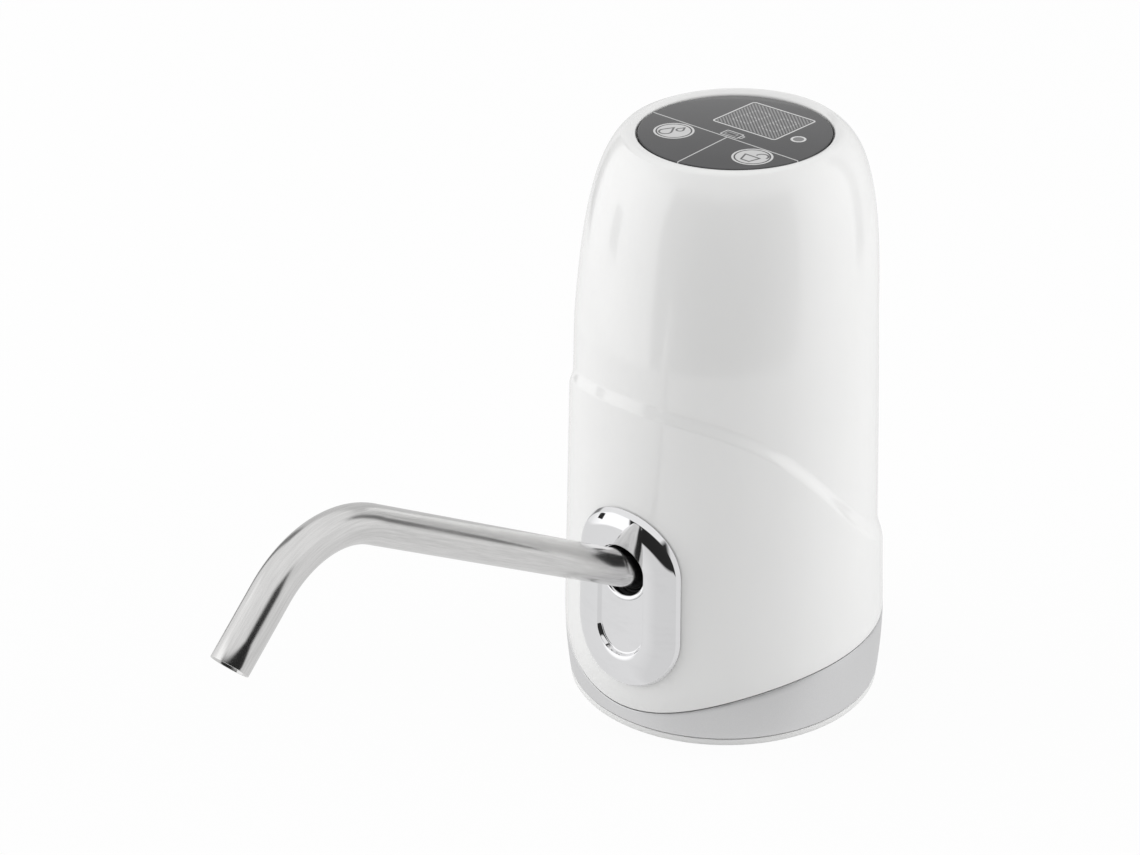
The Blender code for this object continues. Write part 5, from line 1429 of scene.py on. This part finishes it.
    def build_grip(self) -> None:
        """Makes the soft sleeve in the socket, with two lips and upright fins all round."""
        outer = self.socket_radius - SEAT
        inner = outer - self.grip_wall
        lip = inner - self.grip_lip
        low, high = self.grip_start, self.grip_start + self.grip_height
        middle = 0.5 * (low + high)
        profile = softened(((outer, low, CRISP), (outer, high, CRISP), (inner, high, EASED),
                            (lip, 0.5 * (middle + high), ROUND), (inner, middle, ROUND),
                            (lip, 0.5 * (middle + low), ROUND), (inner, low, EASED)))
        sleeve = lathe("sleeve", profile, self.foot_sides, drop())
        fins = FinRing(self.fin_count, inner, self.fin_radius, low + self.fin_margin, high - self.fin_margin)
        with editing(sleeve) as joined:
            joined.from_mesh(fins.mesh(GRIP_RUBBER))
        add_piece("soft_sleeve", sleeve, GRIP_RUBBER, "housing", ("bottle_grip_ring",))

    def build(self) -> None:
        """Makes the four pieces."""
        self.build_shell()
        self.build_band()
        self.build_foot()
        self.build_grip()


# Geometry node trees


class GeometrySheet(NodeSheet):
    """A geometry node tree with named inputs that ends in Realize Instances and Set Material."""

    def __init__(self, name: str) -> None:
        """Starts a tree with one geometry input and one geometry output.

        Args:
            name: the tree's name.
        """
        super().__init__(bpy.data.node_groups.new(name, "GeometryNodeTree"))
        for way in ("OUTPUT", "INPUT"):
            self.tree.interface.new_socket("Geometry", in_out=way, socket_type="NodeSocketGeometry")
        self.entry = self.tree.nodes.new("NodeGroupInput")
        self.values: dict[str, float | int] = {}

    def size(self, name: str, value: float | int) -> Sock:
        """Adds a named input and gives its socket.

        Args:
            name: the input's name.
            value: what it is set to on the modifier. A whole number makes a whole-number input.

        Returns:
            The input, as the tree sees it.
        """
        kind = "NodeSocketInt" if isinstance(value, int) else "NodeSocketFloat"
        item = self.tree.interface.new_socket(name, in_out="INPUT", socket_type=kind)
        item.default_value = value
        self.values[item.identifier] = value
        return Sock(self, self.entry.outputs[name])

    def shape(self) -> Sock:
        """Gives the geometry that comes in."""
        return Sock(self, self.entry.outputs["Geometry"])

    def store(self, shape: Sock, kind: str, name: str, value: Sock) -> Sock:
        """Stores a value under a name on a geometry's points."""
        return self.node("GeometryNodeStoreNamedAttribute", {"data_type": kind, "domain": "POINT"},
                         {"Geometry": shape, "Name": name, "Value": value})

    def finish(self, shape: Sock, material: bpy.types.Material) -> None:
        """Ends the tree in real geometry with its material.

        Args:
            shape: the tree's geometry.
            material: its material.
        """
        real = self.node("GeometryNodeRealizeInstances", None, {"Geometry": shape})
        painted = self.node("GeometryNodeSetMaterial", None, {"Geometry": real, "Material": material})
        leaving = self.tree.nodes.new("NodeGroupOutput")
        self.tree.links.new(painted.socket, leaving.inputs[0])

    def run(self, seed: bpy.types.Mesh) -> bpy.types.Mesh:
        """Runs the tree on a mesh.

        Args:
            seed: the mesh that comes in.

        Returns:
            The plain mesh that comes out.
        """
        holder = loose(seed)
        modifier = holder.modifiers.new(self.tree.name, "NODES")
        modifier.node_group = self.tree
        for identifier, value in self.values.items():
            modifier[identifier] = value
        return baked(holder)


@dataclass(frozen=True)
class FinRing:
    """Upright round fins set in a ring."""

    count: int
    radius: float
    fin_radius: float
    low: float
    high: float
    fin_sides: int = 10

    def mesh(self, finish: Finish) -> bpy.types.Mesh:
        """Makes the fins.

        Args:
            finish: their finish.

        Returns:
            The fins as one mesh.
        """
        sheet = GeometrySheet("fin_ring")
        count = sheet.size("Fin count", self.count)
        radius = sheet.size("Ring radius", self.radius)
        fin_radius = sheet.size("Fin radius", self.fin_radius)
        height = sheet.size("Fin height", self.high - self.low)
        middle = sheet.size("Middle height", 0.5 * (self.low + self.high) - FOOT_DROP)
        ring = sheet.node("GeometryNodeMeshCircle", {"fill_type": "NONE"},
                          {"Vertices": count, "Radius": radius})
        lift = sheet.node("ShaderNodeCombineXYZ", None, {"Z": middle})
        ring = sheet.node("GeometryNodeTransform", None, {"Geometry": ring, "Translation": lift})
        fin = sheet.node("GeometryNodeMeshCylinder", {"fill_type": "NGON"},
                         {"Vertices": self.fin_sides, "Radius": fin_radius, "Depth": height})
        fins = sheet.node("GeometryNodeInstanceOnPoints", None, {"Points": ring, "Instance": fin})
        sheet.finish(fins, stock(finish))
        return sheet.run(bpy.data.meshes.new("fins"))


@dataclass(frozen=True)
class SweptTube:
    """A round tube swept along a line, with the attributes around and along on its points."""

    radius: float
    wall: float
    sides: int
    edge_share: float = 0.2
    edge_degrees: float = 60.0
    edge_steps: int = 2

    def mesh(self, name: str, route: Sequence[Vector], finish: Finish) -> bpy.types.Mesh:
        """Makes the tube.

        Args:
            name: the mesh's name.
            route: the tube's middle line.
            finish: the tube's finish.

        Returns:
            A closed tube wall, open at both ends.
        """
        sheet = GeometrySheet("swept_tube")
        radius = sheet.size("Tube radius", self.radius)
        sides = sheet.size("Sides", self.sides)
        path = sheet.node("GeometryNodeMeshToCurve", None, {"Mesh": sheet.shape()})
        path = sheet.store(path, "FLOAT", "along", sheet.node("GeometryNodeSplineParameter", output="Length"))
        circle = sheet.node("GeometryNodeCurvePrimitiveCircle", {"mode": "RADIUS"},
                            {"Resolution": sides, "Radius": radius})
        circle = sheet.store(circle, "FLOAT_VECTOR", "around", sheet.node("GeometryNodeInputPosition"))
        tube = sheet.node("GeometryNodeCurveToMesh", None, {"Curve": path, "Profile Curve": circle})
        sheet.finish(tube, stock(finish))
        seed = bpy.data.meshes.new(name)
        seed.from_pydata([tuple(point) for point in route], [(i, i + 1) for i in range(len(route) - 1)], [])
        holder = loose(sheet.run(seed))
        wall = holder.modifiers.new("Wall", "SOLIDIFY")
        wall.thickness = self.wall
        wall.offset = -1.0
        wall.use_even_offset = True
        edge = holder.modifiers.new("Edge", "BEVEL")
        edge.width = self.edge_share * self.wall
        edge.segments = self.edge_steps
        edge.limit_method = "ANGLE"
        edge.angle_limit = math.radians(self.edge_degrees)
        return baked(holder)


@dataclass
class Spout:
    """The chrome escutcheon and sleeve, the seals and the bent steel spout."""

    form: BodyForm
    line: SpoutLine
    plate_half_width: float = 0.0156
    plate_half_height: float = 0.0240
    plate_middle: float = 0.0378
    plate_floor: float = 0.0013
    plate_edge: float = 0.0005
    shoulder_inset: float = 0.0009
    shoulder: float = 0.0017
    shoulder_power: float = 2.2
    plate_crest: float = 0.0026
    plate_crest_inset: float = 0.0054
    plate_brow: float = 0.0023
    brow_inset: float = 0.0089
    recess_inset: float = 0.0092
    middle_inset: float = 0.0150
    middle_margin: float = 0.0001
    dome_steps: int = 20
    round_steps: int = 5
    plate_hole: float = 0.0053
    plate_hole_ends: Pair = (-0.0004, 0.012)
    seat_gap: float = 0.00004
    seat_ends: Pair = (-0.0025, 0.0010)
    seat_step: float = 0.0002
    arc_steps: int = 48
    mouth_steps: int = 128
    side_steps: int = 12
    collar_radius: float = 0.0065
    collar_root: float = 0.0090
    flange_ends: Pair = (-0.0016, -0.0008)
    lip_radius: float = 0.0074
    lip_depth: float = 0.0009
    lip_steps: int = 12
    mouth_radius: float = 0.0062
    mouth_ends: Pair = (-0.0045, -0.0050)
    bore: float = 0.00555
    # How far past the mouth's radius the painted shade on the hole's wall reaches.
    shade_margin: float = 0.00003
    tube_radius: float = 0.00455
    tube_wall: float = 0.0006
    tube_sides: int = 64
    run: float = 0.1001
    bend_radius: float = 0.02655
    bend_degrees: float = 71.8
    bend_steps: int = 36
    run_steps: int = 12
    tip_steps: int = 3
    tip: float = 0.0178
    insertion: float = 0.0200
    seal_wire: float = 0.00042
    seal_steps: int = 20
    seal_sides: int = 64
    seal_places: tuple[tuple[str, float], ...] = (("outer", -0.0055), ("inner", -0.0140))

    def plate_ring(self, inset: float, height: float) -> list[Vector]:
        """Gives one stadium-shaped ring of the plate, wrapped round the body.

        Args:
            inset: the distance in from the plate's edge.
            height: the height over the body.

        Returns:
            The ring's points.
        """
        radius = self.plate_half_width - inset
        straight = self.plate_half_height - self.plate_half_width
        flat = []
        for middle, start in ((straight, 0.0), (-straight, 180.0)):
            for index in range(self.arc_steps + 1):
                angle = math.radians(start + 180.0 * index / self.arc_steps)
                flat.append((radius * math.cos(angle), middle + radius * math.sin(angle)))
            end = flat[-1]
            for step in range(1, self.side_steps):
                flat.append((end[0], end[1] - math.copysign(2.0 * straight, middle) * step / self.side_steps))
        girth = self.form.lower(self.plate_middle)
        heights = [(across / girth, self.plate_middle + up) for across, up in flat]
        return [polar(turn, self.form.lower(z) + height, z - FOOT_DROP) for turn, z in heights]

    def dome(self, inset: float) -> float:
        """Gives the plate's height over the body.

        Args:
            inset: the distance in from the plate's edge.

        Returns:
            The height of the dome there.
        """
        if inset < self.plate_crest_inset:
            climb = (self.plate_crest_inset - inset) / (self.plate_crest_inset - self.shoulder_inset)
            return self.plate_crest - (self.plate_crest - self.shoulder) * climb ** self.shoulder_power
        fall = (inset - self.plate_crest_inset) / (self.brow_inset - self.plate_crest_inset)
        return self.plate_crest - (self.plate_crest - self.plate_brow) * fall ** 2

    def blank_plate(self) -> bpy.types.Mesh:
        """Makes the plate as it is before its hole is cut.

        Returns:
            A low dome with a long recess, closed in the middle.
        """
        floor, brow = self.plate_floor, self.brow_inset
        corners = [(0.0, SEAT, 0.0), (0.0, self.plate_edge, CRISP),
                   (self.shoulder_inset, self.shoulder, EASED)]
        corners += [(inset, self.dome(inset), 0.0)
                    for inset in spread(self.shoulder_inset, brow - CRISP, self.dome_steps)]
        corners += [(brow, self.dome(brow), CRISP), (self.recess_inset, floor, SOFT),
                    (self.middle_inset, floor, 0.0)]
        outline = softened(corners, self.round_steps, closed=False)
        outline += [(self.middle_inset, SEAT), (self.recess_inset, SEAT)]
        mesh = skin("plate", [self.plate_ring(inset, height) for inset, height in outline], closed=True)
        reach = self.middle_margin - self.middle_inset
        wide, tall = self.plate_half_width + reach, self.plate_half_height + reach
        with editing(mesh) as bm:
            middle = [face for face in bm.faces
                      if all(abs(vert.co.x) < wide and abs(vert.co.z + FOOT_DROP - self.plate_middle) < tall
                             for vert in face.verts)]
            bmesh.ops.delete(bm, geom=middle, context="FACES_ONLY")
            bmesh.ops.holes_fill(bm, edges=[edge for edge in bm.edges if edge.is_boundary], sides=0)
            bmesh.ops.recalc_face_normals(bm, faces=bm.faces)
        return mesh

    def build_plate(self) -> None:
        """Makes the plate, with the spout's hole in its dome and a seat for the sleeve in its floor."""
        radius, (low, high) = self.plate_hole, self.plate_hole_ends
        hole = self.slanted("hole", [(0.0, low, True), (radius, low, True),
                                     (radius, high, True), (0.0, high, True)])
        lip, within, (deep, top) = self.lip_radius + self.seat_gap, radius - self.seat_step, self.seat_ends
        seat = self.slanted("seat", [(0.0, deep, True), (lip, deep, True), (lip, self.seat_gap, True),
                                     (0.5 * (lip + within), self.seat_gap, True),
                                     (within, self.seat_gap, True), (within, top, True), (0.0, top, True)])
        mesh = carved(self.blank_plate(), (hole, seat))
        add_piece("chrome_plate", mesh, CHROME, "housing", ("spout_escutcheon",))

    def slanted(self, name: str, profile: Sequence[tuple[float, float, bool]]) -> bpy.types.Mesh:
        """Turns a profile about the spout's line, with an end that slants with the plate's recess floor.

        Args:
            name: the mesh's name.
            profile: a closed outline of radius, height, and whether the height is measured from the
                recess floor instead of from the line's start.

        Returns:
            The mesh.
        """
        place = self.line.place()

        def ring_at(turn: float) -> list[Vector]:
            """Gives the profile's points at an angle round the line.

            Args:
                turn: the angle, from straight below the line.

            Returns:
                The points in the model's frame.
            """
            rises = [self.line.reach(turn, radius, self.plate_floor) if slants else 0.0
                     for radius, _, slants in profile]
            return [place @ polar(turn, radius, height + rise)
                    for (radius, height, _), rise in zip(profile, rises)]

        return skin(name, turned(self.mouth_steps, ring_at), closed=True)

    def build_collar(self) -> None:
        """Makes the spout's sleeve, whose mouth rolls out to a rounded lip on the recess floor."""
        radius, mouth, wide, root = self.collar_radius, self.mouth_radius, self.lip_radius, -self.collar_root
        profile = [(radius, root, False), (radius, self.flange_ends[0], True),
                   (wide, self.flange_ends[1], True)]
        for step in range(self.lip_steps + 1):
            angle = math.radians(90.0 * step / self.lip_steps)
            profile.append((wide - (wide - mouth) * math.sin(angle),
                            -self.lip_depth * (1.0 - math.cos(angle)), True))
        profile += [(mouth, self.mouth_ends[0], False), (self.bore, self.mouth_ends[1], False),
                    (self.bore, root, False)]
        mesh, back = self.slanted("sleeve", profile), self.line.place().inverted()
        inside = mesh.attributes.new("inside", "FLOAT", "POINT")
        for vertex, mark in zip(mesh.vertices, inside.data):
            # Marks the points of the hole's wall, up to a little past the mouth, for the painted shade.
            mark.value = float((back @ vertex.co).xy.length < mouth + self.shade_margin)
        add_piece("chrome_sleeve", mesh, CHROME_MOUTH, "housing", ("spout_collar",))

    def build_seals(self) -> None:
        """Makes the two rubber rings that hold and seal the tube."""
        middle, wire = 0.5 * (self.tube_radius + self.bore), self.seal_wire
        for side, place in self.seal_places:
            angles = [FULL_TURN * index / self.seal_steps for index in range(self.seal_steps)]
            profile = [(middle + wire * math.cos(angle), place + wire * math.sin(angle)) for angle in angles]
            mesh = lathe("seal", profile, self.seal_sides, self.line.place())
            add_piece(f"spout_seal_{side}", mesh, SEAL_RUBBER, "spout_seals",
                      (f"spout_o_ring_{side}",))

    def route(self) -> list[Vector]:
        """Gives the tube's middle line.

        Returns:
            The line's points in the model's frame.
        """
        bend = math.radians(self.bend_degrees)
        straight = [-self.insertion] + spread(-self.insertion, self.run, self.run_steps)
        points = [Vector((0.0, 0.0, z)) for z in straight]
        for angle in spread(0.0, bend, self.bend_steps):
            points.append(Vector((0.0, -self.bend_radius * (1.0 - math.cos(angle)),
                                  self.run + self.bend_radius * math.sin(angle))))
        end, way = points[-1], Vector((0.0, -math.sin(bend), math.cos(bend)))
        points += [end + way * reach for reach in spread(0.0, self.tip, self.tip_steps)]
        place = self.line.place()
        return [place @ point for point in points]

    def build_tube(self) -> None:
        """Makes the bent steel tube."""
        tube = SweptTube(self.tube_radius, self.tube_wall, self.tube_sides)
        mesh = tube.mesh("tube", self.route(), STEEL_TUBE)
        add_piece("steel_spout", mesh, STEEL_TUBE, "spout", ("spout_tube",))

    def build(self) -> None:
        """Makes plate, sleeve, seals and tube."""
        self.build_plate()
        self.build_collar()
        self.build_seals()
        self.build_tube()


@dataclass
class ControlTop:
    """The smoked panel that fills the crown's recess."""

    form: BodyForm
    top: float = 0.1461
    thickness: float = 0.0023
    sides: int = 144
    sharp_degrees: float = 50.0

    def build(self) -> None:
        """Makes the panel, with a softened edge."""
        radius, low = self.form.panel_radius, self.top - self.thickness
        profile = softened(((0.0, low, 0.0), (radius, low, CRISP), (radius, self.top, EASED),
                            (0.0, self.top, 0.0)))
        mesh = lathe("panel", profile, self.sides, drop(0.0, self.form.crown_setback))
        add_piece("smoked_panel", mesh, PANEL, "housing", ("control_panel",),
                  self.sharp_degrees)


@dataclass
class WaterInlet:
    """The nipple that the bottle's hose is pushed onto, with three barbs below and a spigot above."""

    radius: float = 0.0045
    bore: float = 0.0030
    bore_top: float = 0.0200
    low: float = 0.0065
    tip_taper: float = 0.0008
    barb_count: int = 3
    barb_pitch: float = 0.0034
    barb_slope: float = 0.0008
    barb_depth: float = 0.0006
    stem_start: float = 0.0192
    flange: float = 0.0223
    flange_radius: float = 0.0070
    flange_height: float = 0.0020
    spigot_radius: float = 0.0021
    spigot_bore: float = 0.0014
    spigot_height: float = 0.0085
    round_steps: int = 3
    sides: int = 48

    def build(self) -> None:
        """Makes the nipple."""
        radius, neck, top = self.radius, self.radius - self.barb_depth, self.flange + self.flange_height
        end = top + self.spigot_height
        corners: list[Corner] = [(self.bore, self.low, CRISP), (radius - self.tip_taper, self.low, EASED)]
        for index in range(self.barb_count):
            z = self.low + self.barb_pitch * (index + 1)
            corners += [(radius, z - self.barb_slope, CRISP), (radius, z, HAIR), (neck, z, HAIR)]
        corners += [(neck, self.stem_start, CRISP), (radius, self.stem_start, CRISP),
                    (radius, self.flange, CRISP), (self.flange_radius, self.flange, CRISP),
                    (self.flange_radius, top, EASED), (self.spigot_radius, top, SOFT),
                    (self.spigot_radius, end, EASED), (self.spigot_bore, end, CRISP),
                    (self.spigot_bore, self.flange, 0.0), (self.bore, self.bore_top, 0.0)]
        mesh = lathe("nipple", softened(corners, self.round_steps), self.sides, drop(*INLET_PLACE))
        add_piece("barbed_inlet", mesh, NATURAL, "housing", ("inlet_nipple",))


def dress_cad_nodes() -> None:
    """Gives every CAD node that still shows the finish of its material slot."""
    slots = {part["node"]: part["material_slot"] for part in frame["record"]["subparts"]}
    for name, thing in frame["nodes"].items():
        finish = stock(SLOT_FINISHES[slots[name]])
        for holder in thing.material_slots:
            holder.material = finish
        log.info("%s: %s", name, finish.name)


# The studio


@dataclass(frozen=True)
class Lamp:
    """A soft lamp that faces the pump, at an angle to the right of the camera."""

    name: str
    degrees: float
    height: float
    size: Pair
    watts: float


@dataclass
class Studio:
    """A pale floor, soft light and the camera at the photograph's angle.

    Places are in the model's frame. The room's tables give how light it is, in (degrees, grey) pairs.
    """

    camera_place: Point = (0.42106, -0.55274, 0.4079)
    lens: float = 99.6
    sensor: float = 36.0
    nearest: float = 0.01
    pitch_degrees: float = 27.36
    yaw_degrees: float = -3.17
    roll_degrees: float = -0.93
    turn_degrees: float = 37.3
    floor_z: float = -0.0201
    floor_half: float = 3.0
    floor_white: float = 0.94
    floor_roughness: float = 0.9
    floor_greys: Pair = (0.75, 0.77)
    floor_grain: Pattern = Pattern(9.0)
    sky: Pair = (0.49, 0.80)
    upper_room: tuple[Pair, ...] = (
        (-180.0, 0.66), (-156.0, 0.66), (-152.0, 0.24), (-143.0, 0.24), (-139.0, 0.86), (-120.0, 0.90),
        (-96.0, 1.20), (-59.0, 1.20), (-56.0, 0.02), (50.0, 0.03), (56.0, 0.80), (110.0, 0.90), (113.0, 0.16),
        (121.0, 0.16), (126.0, 0.66), (180.0, 0.66))
    lower_room: tuple[Pair, ...] = (
        (-180.0, 0.76), (-100.0, 0.80), (-66.0, 0.82), (-46.0, 0.73), (46.0, 0.72), (66.0, 0.80),
        (180.0, 0.76))
    lamp_stand: Four = (-107.0, -97.0, -0.17, 0.02)
    lamp_stand_grey: float = 0.03
    ceiling: float = 0.90
    table_edge: Pair = (-0.32, -0.28)
    ceiling_edge: Pair = (0.50, 0.62)
    sky_edge: Pair = (-0.2, 1.0)
    lamps: tuple[Lamp, ...] = (Lamp("soft_left", -96.0, 0.52, (1.6, 1.1), 10.2),
                               Lamp("soft_right", 90.0, 0.48, (1.0, 1.0), 8.2))
    lamp_reach: float = 1.1
    lamp_target: Point = (0.0, 0.0, 0.10)

    def add_camera(self) -> None:
        """Makes the camera: its pitch, yaw and roll are turned with the object."""
        yaw, pitch, roll = (math.radians(angle)
                            for angle in (self.yaw_degrees, self.pitch_degrees, self.roll_degrees))
        ahead = Vector((math.sin(yaw) * math.cos(pitch), math.cos(yaw) * math.cos(pitch), -math.sin(pitch)))
        level = Vector((math.cos(yaw), -math.sin(yaw), 0.0))
        upright = level.cross(ahead)
        right = math.cos(roll) * level + math.sin(roll) * upright
        up = math.cos(roll) * upright - math.sin(roll) * level
        turn = Matrix.Rotation(math.radians(self.turn_degrees), 3, "Z")
        axes = Matrix((turn @ right, turn @ up, turn @ -ahead)).transposed()
        camera = bpy.data.objects.new("camera", bpy.data.cameras.new("camera"))
        camera.data.lens = self.lens
        camera.data.sensor_width = self.sensor
        camera.data.clip_start = self.nearest
        camera.matrix_world = Matrix.Translation(self.camera_place) @ axes.to_4x4()
        bpy.context.scene.collection.objects.link(camera)
        bpy.context.scene.camera = camera

    def add_floor(self) -> None:
        """Makes the floor: pale, and nearly white where the camera sees it, so that its shadow stays soft."""
        corners = [(x * self.floor_half, y * self.floor_half, self.floor_z)
                   for x, y in ((-1, -1), (1, -1), (1, 1), (-1, 1))]
        mesh = bpy.data.meshes.new("floor")
        mesh.from_pydata(corners, [], [(0, 1, 2, 3)])
        material = bpy.data.materials.new("pale_floor")
        material.use_nodes = True
        sheet = MaterialSheet(material)
        sheet.feed(sheet.shader.inputs["Roughness"], self.floor_roughness)
        darker, lighter = ((grey,) * 3 for grey in self.floor_greys)
        base = sheet.blend(self.floor_grain.on(sheet), darker, lighter)
        sheet.feed(sheet.shader.inputs["Base Color"], base)
        white = sheet.node("ShaderNodeEmission", None, {"Color": (1.0, 1.0, 1.0), "Strength": 1.0})
        lit = Sock(sheet, sheet.shader.outputs[0])
        mixed = sheet.node("ShaderNodeMixShader", None,
                           {0: sheet.ray("Camera") * self.floor_white, 1: lit, 2: white})
        sheet.feed(material.node_tree.nodes["Material Output"].inputs["Surface"], mixed)
        mesh.materials.append(material)
        floor = loose(mesh)
        floor.visible_glossy = False

    def add_lamp(self, lamp: Lamp) -> None:
        """Adds a soft lamp that shows in no reflection.

        Args:
            lamp: the lamp.
        """
        data = bpy.data.lights.new(lamp.name, "AREA")
        data.shape = "RECTANGLE"
        data.size, data.size_y = lamp.size
        data.energy = lamp.watts
        place = polar(math.radians(self.turn_degrees + lamp.degrees), self.lamp_reach, lamp.height)
        thing = bpy.data.objects.new(lamp.name, data)
        thing.visible_glossy = False
        thing.location = place
        thing.rotation_euler = (Vector(self.lamp_target) - place).to_track_quat("-Z", "Y").to_euler()
        bpy.context.scene.collection.objects.link(thing)

    def room_ramp(self, sheet: NodeSheet, azimuth: Sock, stops: Sequence[Pair]) -> Sock:
        """Gives how light the room is at an angle round the pump, from (degrees, grey) pairs."""
        placed = tuple((0.5 + degrees / 360.0, grey) for degrees, grey in stops)
        return sheet.node("ShaderNodeValToRGB", {"stops": placed}, {0: azimuth})

    def add_world(self) -> None:
        """Makes the sky: even soft light, a white backdrop for the camera, and a room for reflections.

        The room has a pale table, a dark side behind the camera, two narrow dark corners, a lamp's
        stand and a pale ceiling.
        """
        world = bpy.data.worlds.new("studio")
        world.use_nodes = True
        bpy.context.scene.world = world
        sheet = NodeSheet(world.node_tree)
        way = sheet.about_z(sheet.node("ShaderNodeTexCoord", output="Generated"), -self.turn_degrees)
        across, ahead, height = (sheet.axis(way, name) for name in "XYZ")
        azimuth = across.math("ARCTAN2", -1.0 * ahead) / FULL_TURN + 0.5
        upper = self.room_ramp(sheet, azimuth, self.upper_room)
        lower = self.room_ramp(sheet, azimuth, self.lower_room)
        left, right, low, high = self.lamp_stand
        stand = (azimuth > 0.5 + left / 360.0) * (azimuth < 0.5 + right / 360.0)
        stand = stand * (height > low) * (height < high)
        upper = sheet.blend(stand, upper, (self.lamp_stand_grey,) * 3)
        room = sheet.blend(height.between(*self.table_edge), lower, upper)
        room = sheet.blend(height.between(*self.ceiling_edge), room, (self.ceiling,) * 3)
        dim, bright = ((grey,) * 3 for grey in self.sky)
        sky = sheet.blend(height.between(*self.sky_edge), dim, bright)
        colour = sheet.blend(sheet.ray("Glossy"), sky, room)
        seen = sheet.ray("Camera").most(sheet.ray("Transmission"))
        back = world.node_tree.nodes["Background"]
        sheet.feed(back.inputs["Color"], sheet.blend(seen, colour, (1.0, 1.0, 1.0)))
        sheet.feed(back.inputs["Strength"], 1.0)

    def build(self) -> None:
        """Makes the studio."""
        bpy.context.scene.view_settings.view_transform = "Standard"
        self.add_camera()
        self.add_floor()
        self.add_world()
        for lamp in self.lamps:
            self.add_lamp(lamp)


def main() -> None:
    """Builds the pump's pieces and the studio."""
    logging.basicConfig(level=logging.INFO, format="%(name)s: %(message)s")
    form = BodyForm()
    line = SpoutLine(form)
    dress_cad_nodes()
    for assembly in (Housing(form, line), Spout(form, line), ControlTop(form), WaterInlet(), Studio()):
        assembly.build()


if __name__ == "__main__":
    main()
